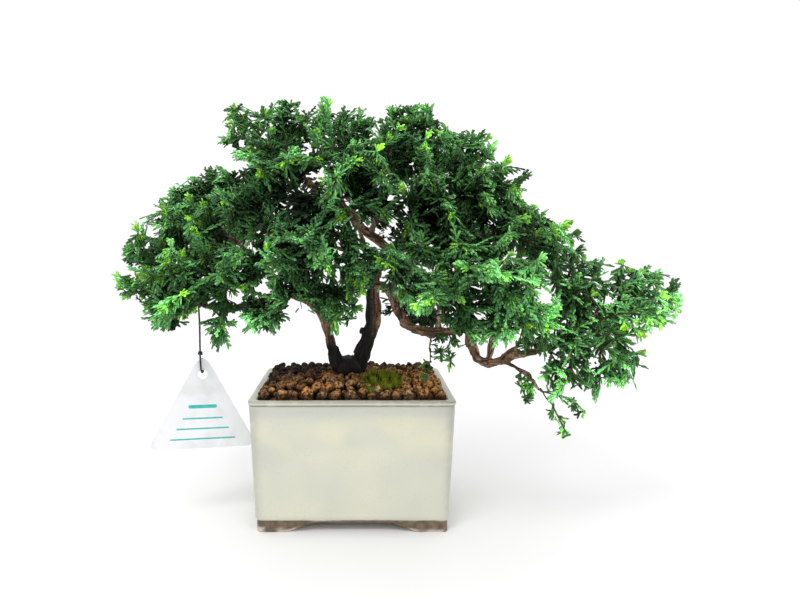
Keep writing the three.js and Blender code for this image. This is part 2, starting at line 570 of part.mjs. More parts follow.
// One frond: an arched rib with pinnae to its right and left in turn, widest below its middle.
function makeFrond(root, tip, face, lift, shape, random, grow) {
  const span = tip.clone().sub(root);
  const length = span.length();
  const crest = root.clone().addScaledVector(span, 0.5).addScaledVector(vec(0, 0, 1), lift * length);
  const rib = new THREE.QuadraticBezierCurve3(root, crest, tip);
  const count = Math.max(4, Math.round((length * (RIB_END - BARE_ROOT)) / PINNA_PITCH));
  const blade = new Blade();
  const stations = [0];
  for (let k = 0; k <= count; k++) stations.push(lerp(BARE_ROOT, RIB_END, k / count));

  const frameAt = (u) => {
    const along = rib.getTangentAt(u);
    const up = face.clone().addScaledVector(along, -face.dot(along)).normalize();
    return { along, up, across: up.clone().cross(along) };
  };
  const ringAround = (middle, { up, across }, halfWidth) =>
    [[1, 1], [-1, 1], [-1, -1], [1, -1]].map(([right, above]) =>
      middle.clone()
        .addScaledVector(across, right * (halfWidth + grow))
        .addScaledVector(up, above * (BLADE_HALF_THICK + grow)));
  const ringAt = (u) => ringAround(rib.getPointAt(u), frameAt(u), lerp(...RIB_HALF_WIDTH, u));

  let open = ringAt(0).map((p) => blade.corner(p));
  blade.close([open[0], open[3], open[2], open[1]]);
  const gap = ((RIB_END - BARE_ROOT) * length * 2) / count; // between two pinnae of one side
  for (let k = 1; k < stations.length; k++) {
    const { ring, walls } = blade.carry(open, ringAt(stations[k]));
    const right = k % 2 === 0 ? 1 : -1;
    const [withPinna, bare] = right > 0 ? [walls[3], walls[1]] : [walls[1], walls[3]];
    blade.close(walls[0]);
    blade.close(walls[2]);
    blade.close(bare);
    if (k === 1) {
      blade.close(withPinna);
    } else {
      const u = (stations[k - 1] + stations[k]) / 2;
      const { along, up, across } = frameAt(u);
      const angle = rad(lerp(...PINNA_ANGLE, u) + (random() - 0.5) * 6);
      const [sine, cosine] = [Math.sin(angle), Math.cos(angle)];
      const fullness = Math.sin(Math.PI * (0.2 + 0.66 * u)) ** 0.7;
      const wide = (shape * length * fullness * (0.9 + 0.2 * random())) / 2 / sine;
      const reach = Math.min(wide, ((1.03 - u) * length) / cosine);
      const room = 0.46 * gap * sine - 1.8;
      growPinna(blade, withPinna, {
        out: along.clone().multiplyScalar(cosine).addScaledVector(across, right * sine),
        lead: along.clone().multiplyScalar(sine).addScaledVector(across, -right * cosine),
        up,
        side: right,
        length: Math.max(reach, 5),
        lengths: reach > LONG_PINNA ? 2 : 1,
        lobe: Math.max(1.6, room) / Math.sin(rad(LOBE_ANGLE)),
      }, grow);
    }
    open = ring;
  }
  blade.point(open, tip.clone().addScaledVector(frameAt(1).along, grow));
  return solidFrom(blade.positions, blade.faces);
}

// A spray with its fronds turned by roll degrees about their ribs and lifted by a share of their length.
function makeSpray(spray, number, roll, lift, standOff, grow) {
  const curve = limbCurves[spray.on];
  const foot = curve.getPoint(spray.at);
  const along = curve.getTangent(spray.at);
  const radius = limbRadius(spray.on, spray.at);
  const tips = spray.tips.map((t) => vec(...t));
  const mean = tips.reduce((sum, t) => sum.add(t), vec(0, 0, 0)).divideScalar(tips.length);
  const way = mean.sub(foot).normalize();
  const aslant = Math.max(Math.sin(way.angleTo(along)), 0.45);
  const root = foot.clone().addScaledVector(way, standOff + (spray.at === 1 ? 0 : radius / aslant));
  const random = seededRandom(900 + number * 17);
  const fronds = tips.map((tip) => {
    const middle = root.clone().add(tip).divideScalar(2);
    const forward = THREE.MathUtils.clamp((middle.y - 25) / 45, -1.5, 1);
    const face = vec((random() - 0.5) * 0.5, forward + (random() - 0.5) * 0.4, 0.8).normalize();
    face.applyAxisAngle(tip.clone().sub(root).normalize(), rad(roll));
    return makeFrond(root, tip, face, lift, FROND_SHAPE * (spray.slim ?? 1), random, grow);
  });
  return fronds.reduce((whole, frond) => whole.add(frond));
}

const overlaps = (a, others) => others.some((other) => a.intersect(other).volume() > 1e-4);

// Turns and lifts a spray, starting from its own turn, until it is clear of the standing pieces and of
// the sprays before it.
function fitSpray(spray, number, standing, settled) {
  for (const higher of [0, 0.06, -0.06, 0.12]) {
    for (const further of [0, 8, -8, 16, -16, 24, -24, 32, -32, 44, -44, 56, -56]) {
      for (const standOff of ROOT_CLEAR) {
        const guard = makeSpray(spray, number, spray.turn + further, ARCH + higher, standOff, SEAT);
        if (overlaps(guard, standing)) continue;
        const solid = makeSpray(spray, number, spray.turn + further, ARCH + higher, standOff, 0);
        if (!overlaps(solid, settled)) return { solid, guard };
        break;
      }
    }
  }
  throw new Error(`no clear place for the spray at ${spray.at} of ${spray.on}`);
}

function makeSprays(standing) {
  const sprays = [];
  SPRAYS.forEach((spray, i) => {
    sprays.push({ name: spray.on, ...fitSpray(spray, i, standing, sprays.map((s) => s.guard)) });
  });
  return sprays;
}

// ---------- tag ----------
// A plate with three round corners and a hole for its cord, hanging a little askew.
function makeTag() {
  const top = new THREE.Vector2(0, TAG_HOLE_DROP);
  const left = new THREE.Vector2(-TAG_WIDTH / 2, TAG_HOLE_DROP - TAG_HEIGHT);
  const right = new THREE.Vector2(TAG_WIDTH / 2, TAG_HOLE_DROP - TAG_HEIGHT);
  const shape = new THREE.Shape();
  [[right, top, left], [top, left, right], [left, right, top]].forEach(([before, corner, after], i) => {
    const cut = TAG_CORNER[corner === top ? 0 : 1];
    const start = corner.clone().lerp(before, cut / corner.distanceTo(before));
    const end = corner.clone().lerp(after, cut / corner.distanceTo(after));
    if (i === 0) shape.moveTo(start.x, start.y);
    else shape.lineTo(start.x, start.y);
    shape.quadraticCurveTo(corner.x, corner.y, end.x, end.y);
  });
  shape.holes.push(new THREE.Path().absarc(0, 0, TAG_HOLE_RADIUS, 0, 2 * Math.PI, true));
  const options = { depth: TAG_THICK, bevelEnabled: false, curveSegments: 5 };
  const plate = new THREE.ExtrudeGeometry(shape, options);
  plate.translate(0, 0, -TAG_THICK / 2);
  plate.rotateX(Math.PI / 2);
  plate.rotateY(rad(TAG_LEAN));
  plate.rotateZ(rad(TAG_TURN));
  plate.translate(...TAG_HOLE);
  return solidOf(plate);
}

function makeCord() {
  const section = new THREE.Shape();
  for (let i = 0; i < CORD_SIDES; i++) {
    const angle = (i * 2 * Math.PI) / CORD_SIDES;
    const x = (Math.cos(angle) * CORD_DIAMETER) / 2;
    const y = (Math.sin(angle) * CORD_DIAMETER) / 2;
    if (i === 0) section.moveTo(x, y);
    else section.lineTo(x, y);
  }
  const route = new THREE.CatmullRomCurve3(CORD_ROUTE.map((p) => vec(...p)), false, "centripetal");
  const options = { steps: CORD_STEPS, extrudePath: route, bevelEnabled: false };
  return solidOf(new THREE.ExtrudeGeometry(section, options));
}

// The knot that holds the loop through the tag, with the cord running through its middle.
function makeKnot() {
  const [bore, end, middle] = KNOT_RADIUS;
  const profile = [
    [bore, -KNOT_HALF], [end, -KNOT_HALF], [middle, 0], [end, KNOT_HALF], [bore, KNOT_HALF],
    [bore, -KNOT_HALF],
  ];
  const knot = new THREE.LatheGeometry(profile.map((p) => new THREE.Vector2(...p)), 10);
  knot.rotateX(Math.PI / 2);
  knot.translate(...KNOT_AT);
  return solidOf(knot);
}

function makeHitch() {
  const foot = limbCurves[HITCH.on].getPoint(HITCH.at);
  const along = limbCurves[HITCH.on].getTangent(HITCH.at);
  const radius = limbRadius(HITCH.on, HITCH.at) * WOOD_SWELL + SEAT + CORD_DIAMETER / 2;
  const ring = new THREE.TorusGeometry(radius, CORD_DIAMETER / 2, 6, 10);
  ring.applyQuaternion(new THREE.Quaternion().setFromUnitVectors(vec(0, 0, 1), along));
  ring.translate(foot.x, foot.y, foot.z);
  return solidOf(ring);
}

// ---------- assembly ----------
const wood = makeWood();
const trunkRoom = ["trunkLeft", "trunkRight"].reduce(
  (room, name) => room.add(makeLimb(name, SOCKET)),
  makeLimb("collar", SOCKET),
);
const TAG_NODES = ["tag", "tag_cord", "tag_knot", "tag_hitch"];
const tagPieces = [makeTag(), makeCord(), makeKnot(), makeHitch()];
place("pot", makePot(), glaze);
place("drain_mesh", makeDrainMesh(), darkPlastic);
place("soil", makeSoil(trunkRoom, makeMoss(SEAT)), grit);
place("moss", makeMoss(0).subtract(trunkRoom), mossGreen);
place("trunk", wood, bark);
TAG_NODES.forEach((name, i) => {
  place(name, tagPieces[i], name === "tag" ? tagWhite : darkPlastic);
});
makeSprays([wood, ...tagPieces]).forEach(({ name, solid }, i) => {
  place(`spray_${String(i + 1).padStart(2, "0")}_${name.toLowerCase()}`, solid, leaf);
});

// The origin is the middle of the plant's and the pot's footprint. The hanging tag doesn't count.
const extent = new THREE.Box3();
group.children
  .filter((mesh) => !TAG_NODES.includes(mesh.name))
  .forEach((mesh) => extent.expandByObject(mesh));
const middle = extent.getCenter(vec(0, 0, 0));
group.position.set(-middle.x, -middle.y, -extent.min.z);

export default group;
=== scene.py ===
import heapq
import json
import math

import bmesh
import bpy
import numpy as np
from mathutils import Matrix, Vector, noise
from mathutils.bvhtree import BVHTree
from mathutils.kdtree import KDTree

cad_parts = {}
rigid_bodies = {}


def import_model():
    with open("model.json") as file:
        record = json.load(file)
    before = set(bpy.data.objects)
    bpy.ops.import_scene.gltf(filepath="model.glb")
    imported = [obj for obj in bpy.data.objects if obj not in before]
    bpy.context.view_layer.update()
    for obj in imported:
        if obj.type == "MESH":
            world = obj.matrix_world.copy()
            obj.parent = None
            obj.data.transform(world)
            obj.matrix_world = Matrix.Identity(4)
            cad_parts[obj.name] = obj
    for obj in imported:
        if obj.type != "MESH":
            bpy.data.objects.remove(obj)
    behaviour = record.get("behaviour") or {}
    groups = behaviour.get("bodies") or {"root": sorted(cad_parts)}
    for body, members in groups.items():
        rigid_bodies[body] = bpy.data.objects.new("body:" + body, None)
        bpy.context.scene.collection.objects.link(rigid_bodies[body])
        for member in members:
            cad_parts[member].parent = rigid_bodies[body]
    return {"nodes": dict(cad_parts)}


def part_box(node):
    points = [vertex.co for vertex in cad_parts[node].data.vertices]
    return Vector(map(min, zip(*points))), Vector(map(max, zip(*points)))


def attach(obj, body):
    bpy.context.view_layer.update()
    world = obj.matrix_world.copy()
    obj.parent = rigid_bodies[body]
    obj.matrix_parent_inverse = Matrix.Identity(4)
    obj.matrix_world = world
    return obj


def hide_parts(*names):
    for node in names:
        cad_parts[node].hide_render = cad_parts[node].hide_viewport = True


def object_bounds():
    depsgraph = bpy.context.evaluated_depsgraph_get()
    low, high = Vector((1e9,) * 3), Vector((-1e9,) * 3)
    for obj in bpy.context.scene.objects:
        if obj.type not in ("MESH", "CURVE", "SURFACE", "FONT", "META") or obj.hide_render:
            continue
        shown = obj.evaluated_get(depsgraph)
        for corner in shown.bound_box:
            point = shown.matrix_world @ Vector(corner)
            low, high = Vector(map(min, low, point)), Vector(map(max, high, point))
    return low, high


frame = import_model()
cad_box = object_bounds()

# ---------- camera ----------
# The tree is looked at from the front and a little from above, at less than half a metre.
# Everything that is placed one by one below is measured from the middle of the pot, on the ground.
pot_low, pot_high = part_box("pot")
POT_MIDDLE = np.array([(pot_low.x + pot_high.x) / 2, (pot_low.y + pot_high.y) / 2, 0])
CAMERA_AT = POT_MIDDLE + (0.003, -0.416, 0.196)
CAMERA_DOWN = 7.13
LENS = 27
VIEW_SHIFT = 0.054


def add_object(name, data):
    thing = bpy.data.objects.new(name, data)
    bpy.context.scene.collection.objects.link(thing)
    return thing


camera = add_object("camera", bpy.data.cameras.new("camera"))
camera.location = CAMERA_AT
camera.rotation_euler = (math.radians(90 - CAMERA_DOWN), 0, 0)
camera.data.lens = LENS
camera.data.shift_x = VIEW_SHIFT
bpy.context.scene.camera = camera

# ---------- cord of the tag ----------
# A dark cord of three twisted strands. It hangs from a hitch round the left limb, passes through the
# hole of the tag from the front and comes up behind it to the knot that closes the loop.
CORD_DIAMETER = 0.0013
CORD_STRANDS = 3
CORD_LAY = 0.004
STRAND_RELIEF = 0.1
CORD_ROUTE = [
    (-0.0993, -0.0308, 0.1456), (-0.0993, -0.0307, 0.142), (-0.0992, -0.0305, 0.138),
    (-0.0992, -0.0304, 0.134), (-0.0993, -0.0303, 0.130), (-0.0994, -0.0302, 0.126),
    (-0.0995, -0.0302, 0.122), (-0.0995, -0.0302, 0.118), (-0.0995, -0.0304, 0.116),
    (-0.0993, -0.0312, 0.1132), (-0.099, -0.0321, 0.1104), (-0.0988, -0.0325, 0.1076),
    (-0.0986, -0.0323, 0.1052), (-0.0985, -0.0309, 0.1036), (-0.0984, -0.0291, 0.1036),
    (-0.0984, -0.0278, 0.1052), (-0.0985, -0.0274, 0.1076), (-0.0987, -0.0275, 0.110),
    (-0.0989, -0.0282, 0.1124),
]
ROUTE_STEPS = 12
KNOT_AT = POT_MIDDLE + (-0.0995, -0.0303, 0.1162)
KNOT_RADIUS = 0.0011
KNOT_TURNS = 2.3
KNOT_HALF_LENGTH = 0.0008
KNOT_CORD_RADIUS = 0.00055
CUT_END = ((-0.0004, 0.0001, 0.0001), (-0.0009, 0.0003, -0.0001))
HITCH_TURNS = 2
HITCH_HALF_LENGTH = 0.0006
HITCH_CORD_RADIUS = 0.0006


def unit(vectors):
    return vectors / np.linalg.norm(vectors, axis=-1, keepdims=True)


def read(items, key, width=3, kind=float):
    """That value of all vertices or edges of a mesh, in rows."""
    values = np.empty(len(items) * width, kind)
    items.foreach_get(key, values)
    return values.reshape(-1, width)


def through_points(points, steps):
    """A smooth line through the points, with a number of steps between each two."""
    ends = np.vstack([2 * points[0] - points[1], points, 2 * points[-1] - points[-2]])
    line = []
    for i in range(1, len(ends) - 2):
        before, here, there, after = ends[i - 1 : i + 3]
        for t in np.arange(steps) / steps:
            line.append(0.5 * (
                2 * here + (there - before) * t
                + (2 * before - 5 * here + 4 * there - after) * t * t
                + (3 * here - before - 3 * there + after) * t**3))
    line.append(points[-1])
    return np.array(line)


def coil(middle, ways, radius, count, half_length, steps):
    """A line that turns from the first of three ways towards the second and climbs along the third."""
    side, over, axis = ways
    angle = np.linspace(0, count * 2 * math.pi, steps)
    climb = np.linspace(-half_length, half_length, steps)
    turns = np.outer(np.cos(angle), side) + np.outer(np.sin(angle), over)
    return middle + radius * turns + np.outer(climb, axis)


def ring_faces(rings, sides, closed=False):
    """Faces of a skin through rings of that many points, which may lead back to the first ring."""
    faces = []
    for k in range(rings if closed else rings - 1):
        here = k * sides
        there = (k + 1) % rings * sides
        for i in range(sides):
            j = (i + 1) % sides
            faces.append((here + i, here + j, there + j, there + i))
    return faces


def twisted_tube(line, radius, sides=12):
    """Points and faces of the cord along a line, with its strands laid round one another."""
    ways = unit(np.gradient(line, axis=0))
    run = np.concatenate([[0], np.cumsum(np.linalg.norm(np.diff(line, axis=0), axis=1))])
    side = np.cross(ways[0], [0.3, 1, 0.2])
    points = []
    for centre, way, along in zip(line, ways, run):
        side = unit(side - way * side.dot(way))
        over = np.cross(way, side)
        for angle in np.arange(sides) * 2 * math.pi / sides:
            wave = math.cos(CORD_STRANDS * (angle - 2 * math.pi * along / CORD_LAY))
            reach = radius * (1 - STRAND_RELIEF + STRAND_RELIEF * wave)
            points.append(centre + reach * (math.cos(angle) * side + math.sin(angle) * over))
    first_end = tuple(range(sides))[::-1]
    last_end = tuple(range(len(points) - sides, len(points)))
    return points, ring_faces(len(line), sides) + [first_end, last_end]


def make_piece(name, points, faces, material):
    """A smooth mesh object of that name, with one material."""
    mesh = bpy.data.meshes.new(name)
    mesh.from_pydata(points, [], faces)
    mesh.materials.append(material)
    mesh.shade_smooth()
    return add_object(name, mesh)


class Finish:
    """A material under construction, with its shader and short names for the nodes that feed it."""

    def __init__(self, name, roughness, specular=0.5):
        self.material = bpy.data.materials.new(name)
        self.material.use_nodes = True
        self.tree = self.material.node_tree
        self.shader = self.tree.nodes["Principled BSDF"]
        self.shader.inputs["Roughness"].default_value = roughness
        self.shader.inputs["Specular IOR Level"].default_value = specular
        self.place = self.add("ShaderNodeTexCoord").outputs["Object"]

    def feed(self, socket, value):
        """Links the output of another node to the socket, or sets a plain value there."""
        if isinstance(value, bpy.types.NodeSocket):
            self.tree.links.new(value, socket)
        else:
            socket.default_value = value

    def add(self, kind, inputs=(), **settings):
        node = self.tree.nodes.new(kind)
        for key, value in settings.items():
            setattr(node, key, value)
        for key, value in dict(inputs).items():
            self.feed(node.inputs[key], value)
        return node

    def cloud(self, scale, detail=3, stretch=(1, 1, 1)):
        """Soft noise from 0 to 1, with patches about 1 / scale metres wide."""
        spread = self.add("ShaderNodeMapping", {"Vector": self.place, "Scale": stretch})
        inputs = {"Vector": spread.outputs[0], "Scale": scale, "Detail": detail}
        return self.add("ShaderNodeTexNoise", inputs).outputs["Fac"]

    def between(self, value, low, high, start=0.0, end=1.0):
        """The value as a share of the way from low to high, from start to end."""
        inputs = {"Value": value, "From Min": low, "From Max": high, "To Min": start, "To Max": end}
        return self.add("ShaderNodeMapRange", inputs).outputs["Result"]

    def blend(self, share, first, second, way="MIX"):
        """The first colour, turned into the second by that share. Colours are tuples or outputs."""
        mix = self.add("ShaderNodeMix", data_type="RGBA", blend_type=way)
        for key, value in ((0, share), (6, first), (7, second)):
            self.feed(mix.inputs[key], (*value, 1) if isinstance(value, tuple) else value)
        return mix.outputs[2]

    def flecked(self, colour, fleck, scale, detail, low, high, most=1.0):
        """The colour with clouds of another one, where the noise is beyond low, in full from high on."""
        return self.blend(self.between(self.cloud(scale, detail), low, high, 0, most), colour, fleck)

    def times(self, a, b):
        return self.add("ShaderNodeMath", {0: a, 1: b}, operation="MULTIPLY").outputs[0]

    def painted(self, name):
        """The red, green and blue of a colour attribute, as three values."""
        colour = self.add("ShaderNodeVertexColor", layer_name=name).outputs["Color"]
        return self.add("ShaderNodeSeparateColor", {"Color": colour}).outputs[:3]

    def done(self, colour, relief=None, depth=0.0, roughness=None):
        """Links the colour, and a relief that stands depth metres proud, to the shader."""
        self.feed(self.shader.inputs["Base Color"], colour)
        if relief is not None:
            inputs = {"Height": relief, "Distance": depth, "Strength": 1.0}
            self.feed(self.shader.inputs["Normal"], self.add("ShaderNodeBump", inputs).outputs["Normal"])
        if roughness is not None:
            self.feed(self.shader.inputs["Roughness"], roughness)
        return self.material


def cord_finish():
    finish = Finish("dark_cord", 0.75)
    colour = finish.flecked((0.02, 0.022, 0.022), (0.07, 0.075, 0.072), 900, 3, 0.4, 0.7)
    return finish.done(colour, finish.cloud(4000), 0.00005)


cord_dark = cord_finish()
cord_route = POT_MIDDLE + CORD_ROUTE
cord_line = through_points(cord_route, ROUTE_STEPS)
cord = make_piece("tag_string", *twisted_tube(cord_line, CORD_DIAMETER / 2), cord_dark)

# The knot is two turns of the same cord drawn tight, with a cut end.
knot_line = coil(KNOT_AT, np.eye(3), KNOT_RADIUS, KNOT_TURNS, KNOT_HALF_LENGTH, 60)
knot_line = np.vstack([knot_line, knot_line[-1] + CUT_END])
knot = make_piece("tag_string_knot", *twisted_tube(knot_line, KNOT_CORD_RADIUS), cord_dark)

# The hitch is two turns of it round the limb, square to the limb's own line.
hitch_points = read(bpy.data.objects["tag_hitch"].data.vertices, "co")
hitch_middle = hitch_points.mean(axis=0)
hitch_axis, hitch_side, hitch_over = np.linalg.eigh(np.cov((hitch_points - hitch_middle).T))[1].T
hitch_radius = np.linalg.norm(hitch_points - hitch_middle, axis=1).max() - CORD_DIAMETER / 2
hitch_ways = (hitch_side, hitch_over, hitch_axis)
hitch_line = coil(hitch_middle, hitch_ways, hitch_radius, HITCH_TURNS, HITCH_HALF_LENGTH, 64)
hitch = make_piece("tag_string_hitch", *twisted_tube(hitch_line, HITCH_CORD_RADIUS), cord_dark)

for piece, node in ((cord, "tag_cord"), (knot, "tag_knot"), (hitch, "tag_hitch")):
    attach(piece, "root")
    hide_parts(node)

# ---------- tag ----------
# A plant tag cut from white plastic sheet, with round corners and a hole for its cord.
# A teal bar and three thin teal lines to write on are printed across its front.
TAG_THICK = 0.0008
TAG_LEAN = math.radians(1.5)
TAG_TURN = math.radians(13)
TAG_HOLE = POT_MIDDLE + (-0.0984, -0.030, 0.102)
INK_THICK = 0.00006
# How far each bar is under the hole, half its length and half its height.
BARS = ((0.0215, 0.0080, 0.0012), (0.0295, 0.0125, 0.0005), (0.0365, 0.0165, 0.0005),
        (0.0435, 0.0205, 0.0005))


def tag_finish():
    finish = Finish("white_sheet", 0.32)
    colour = finish.flecked((0.82, 0.83, 0.86), (0.70, 0.71, 0.70), 70, 4, 0.45, 0.75)
    scratch = finish.cloud(260, 5, (1, 1, 9))
    return finish.done(colour, scratch, 0.00003, finish.between(scratch, 0.3, 0.7, 0.25, 0.45))


def ink_finish():
    finish = Finish("teal_ink", 0.4)
    return finish.done(finish.flecked((0.02, 0.42, 0.40), (0.05, 0.55, 0.52), 600, 3, 0.35, 0.7))


def dress(mesh, material):
    mesh.materials.clear()
    mesh.materials.append(material)


def bar(drop, half, thick):
    """The outline of a printed bar with round ends."""
    right = [(half + thick * math.sin(t), -drop - thick * math.cos(t)) for t in np.linspace(0, math.pi, 9)]
    return right + [(-x, -2 * drop - y) for x, y in right]


def print_mesh(outlines):
    """The bars as one thin layer of ink on the front of the tag, which leans and is turned."""
    curve = bpy.data.curves.new("tag_print", "CURVE")
    curve.dimensions = "2D"
    curve.fill_mode = "BOTH"
    curve.extrude = INK_THICK / 2
    for outline in outlines:
        spline = curve.splines.new("POLY")
        spline.points.add(len(outline) - 1)
        spline.use_cyclic_u = True
        for point, (x, y) in zip(spline.points, outline):
            point.co = (x, y, 0, 1)
    flat = bpy.data.objects.new("tag_print_flat", curve)
    mesh = bpy.data.meshes.new_from_object(flat)
    bpy.data.objects.remove(flat)
    set_of_tag = Matrix.Rotation(TAG_TURN, 3, "Z") @ Matrix.Rotation(TAG_LEAN, 3, "Y")
    for vertex in mesh.vertices:
        x, y, z = vertex.co
        vertex.co = Vector(TAG_HOLE) + set_of_tag @ Vector((x, -z - TAG_THICK / 2, y))
    mesh.name = "tag_print"
    dress(mesh, ink_finish())
    return mesh


tag_plate = bpy.data.objects["tag"]
dress(tag_plate.data, tag_finish())
tag_print = add_object("tag_print", print_mesh([bar(*sizes) for sizes in BARS]))
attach(tag_print, "root")

tuple(cord_route[0])

# ---------- pot ----------
# A pressed clay pot with a cream glaze, with grey-green painted shade at its corners and under its lip. Its
# base and its four feet are bare brown clay, chipped pale in places, and the underside has one drain hole.
POT_WIDTH, POT_DEPTH, POT_HEIGHT = pot_high - pot_low
POT_CORNER = 0.005
CORNER_POINTS = 9
SIDE_STEPS = (40, 28)
POT_TAPER = 0.0027
RIM_BAND = 0.003
RIM_WIDTH = 0.0055
LIP = POT_HEIGHT - RIM_BAND
# Insets and heights up the outside: the groove under the lip and the round of the lip, from the lip,
# and the round of the rim's upper edge, from its top.
LIP_PROFILE = ((0.0007, -0.0008), (0.0011, -0.0003), (0.0009, 0), (0.0003, 0.0002), (0, 0.0006), (0, 0.0014))
TOP_PROFILE = ((0.0001, -0.0008), (0.0003, -0.0004), (0.0008, -0.0001), (0.0016, 0))
INSIDE_TAPER = (0.005, 0.0065)
FLOOR_TOP = 0.014
FLOOR_ROUND = 0.006
DRAIN_RADIUS = 0.008
FOOT_HEIGHT = 0.007
FOOT_INSET = 0.0014
FOOT_SLOPE = 0.0002
ARCH_HEIGHT = 0.0063
ARCH_WIDTH = (0.086, 0.058)
ARCH_FLANK = 0.017
WALL_SWELL = 0.00035
WALL_RIPPLE = 0.00009
RIM_SAG = 0.00025
PATCH_SHIFT = np.array([3, 1, 2])


def pot_ring(inset):
    """Points round the pot, with its sides moved in by inset from the rim's."""
    half = np.array([POT_WIDTH / 2 - inset, POT_DEPTH / 2 - inset])
    radius = max(POT_CORNER - inset * 0.4, 0.002)
    corners = []
    for quarter, sign in enumerate(((1, 1), (-1, 1), (-1, -1), (1, -1))):
        angles = (quarter + np.linspace(0, 1, CORNER_POINTS)) * math.pi / 2
        corners.append(sign * (half - radius) + radius * np.column_stack([np.cos(angles), np.sin(angles)]))
    ring = []
    for quarter, corner in enumerate(corners):
        start, end = corner[-1], corners[(quarter + 1) % 4][0]
        steps = SIDE_STEPS[quarter % 2]
        ring += [corner, start + (end - start) * (np.arange(1, steps) / steps)[:, None]]
    return np.vstack(ring)


def arch_height(x, y):
    """How far the underside is above the ground: the flat feet, and the arches between them."""
    rises = [(w / 2 - np.abs(d)) * ARCH_HEIGHT / ARCH_FLANK for d, w in zip((x, y), ARCH_WIDTH)]
    return np.clip(np.maximum(*rises), 0, ARCH_HEIGHT)


def at_height(ring, height):
    return np.column_stack([ring, np.broadcast_to(height, len(ring))])


def wall(first, last, steps):
    """Rings of a straight stretch between two pairs of inset and height, without its last one."""
    for t in np.arange(steps) / steps:
        inset, height = np.array(first) + (np.array(last) - first) * t
        yield at_height(pot_ring(inset), height)


def pot_rings():
    """Rings from the drain hole out under the base, up the wall, over the rim and down inside."""
    base = pot_ring(POT_TAPER + FOOT_INSET)
    angles = np.arctan2(base[:, 1], base[:, 0])
    drain = DRAIN_RADIUS * np.column_stack([np.cos(angles), np.sin(angles)])
    for height in np.linspace(FLOOR_TOP, ARCH_HEIGHT, 4)[:-1]:
        yield at_height(drain, height)
    for t in np.linspace(0, 1, 20):
        ring = drain + (base - drain) * t
        yield at_height(ring, arch_height(*ring.T))
    under = arch_height(*base.T)
    foot_top = pot_ring(POT_TAPER + FOOT_INSET - FOOT_SLOPE)
    for t in (0.06, 0.3, 0.6, 0.9):
        yield at_height(base + (foot_top - base) * t, under + (FOOT_HEIGHT - under) * t)
    flare = (POT_TAPER + FOOT_SLOPE, FOOT_HEIGHT + 0.003)
    wall_foot = (POT_TAPER, FOOT_HEIGHT + 0.012)
    yield from wall((POT_TAPER + FOOT_INSET, FOOT_HEIGHT), flare, 4)
    yield from wall(flare, wall_foot, 5)
    yield from wall(wall_foot, (0.0006, LIP - 0.0012), 28)
    for inset, rise in LIP_PROFILE:
        yield at_height(pot_ring(inset), LIP + rise)
    for inset, rise in TOP_PROFILE:
        yield at_height(pot_ring(inset), POT_HEIGHT + rise)
    yield from wall((0.0024, POT_HEIGHT), (RIM_WIDTH - 0.0008, POT_HEIGHT - 0.0002), 4)
    yield at_height(pot_ring(RIM_WIDTH - 0.0004), POT_HEIGHT - 0.0004)
    floor_bend = (POT_TAPER + INSIDE_TAPER[0], FLOOR_TOP + FLOOR_ROUND)
    floor_edge = POT_TAPER + INSIDE_TAPER[1]
    yield from wall((RIM_WIDTH, POT_HEIGHT - 0.0012), floor_bend, 12)
    yield from wall(floor_bend, (floor_edge, FLOOR_TOP), 4)
    floor = pot_ring(floor_edge)
    for t in np.linspace(0, 1, 6)[:-1]:
        yield at_height(floor + (drain - floor) * t, FLOOR_TOP)


def paint(piece, name, colours):
    """A colour attribute with a red, green, blue and perhaps alpha for each point."""
    layer = piece.data.color_attributes.new(name, "FLOAT_COLOR", "POINT")
    full = np.ones((len(colours), 4), np.float32)
    full[:, : np.shape(colours)[1]] = colours
    layer.data.foreach_set("color", full.ravel())


def pot_finish():
    finish = Finish("cream_glaze", 0.3)
    thin, clay, darker_inside = finish.painted("pot")
    straw, slate_and_shade, chipped = finish.painted("glaze")
    cream = finish.flecked((0.640, 0.635, 0.520), (0.585, 0.590, 0.495), 22, 2, 0.36, 0.66)
    # Slate is partly a grey-blue band of the glaze and partly grey-green painted shade under the rim band and
    # along the corners.
    cream = finish.blend(slate_and_shade, cream, (0.500, 0.515, 0.470))
    cream = finish.blend(straw, cream, (0.665, 0.650, 0.490))
    cream = finish.flecked(cream, (0.45, 0.42, 0.34), 1100, 2, 0.60, 0.72, 0.30)
    # The thin lines are thin glaze on the rim's top edge, and painted shadow in the groove under the lip and
    # painted shade along the corners.
    dark_lines_and_shade = finish.times(thin, finish.between(finish.cloud(160), 0.15, 0.5))
    cream = finish.blend(dark_lines_and_shade, cream, (0.15, 0.13, 0.09))
    # The inside of the rim is painted darker further down.
    cream = finish.blend(darker_inside, cream, (0.10, 0.085, 0.06))
    bare = finish.flecked((0.105, 0.075, 0.048), (0.185, 0.135, 0.088), 240, 3, 0.35, 0.65)
    bare = finish.blend(chipped, bare, (0.58, 0.49, 0.42))
    rough = finish.between(clay, 0, 1, 0.28, 0.85)
    return finish.done(finish.blend(clay, cream, bare), finish.cloud(1800, 4), 0.00006, rough)


def ramp(value, start, end):
    """0 up to the start, 1 from the end on and shares of 1 between them."""
    return np.clip((value - start) / (end - start), 0, 1)


def bell(value, middle, width):
    return np.exp(-((value - middle) / width) ** 2)


def noise_at(places, scale, level=None):
    """Smooth noise from about -1 to 1 in waves of 1 / scale metres, on one level if that is given."""
    if level is not None:
        places = np.column_stack([places[:, :2], np.full(len(places), level)])
    return np.array([noise.noise(Vector(p) * scale) for p in places])


def patches(places, wave, low, high):
    """Soft patches from 0 to 1 over the places, of about the wave's length in metres."""
    return ramp(noise_at(places + PATCH_SHIFT * wave, 1 / wave), low, high)


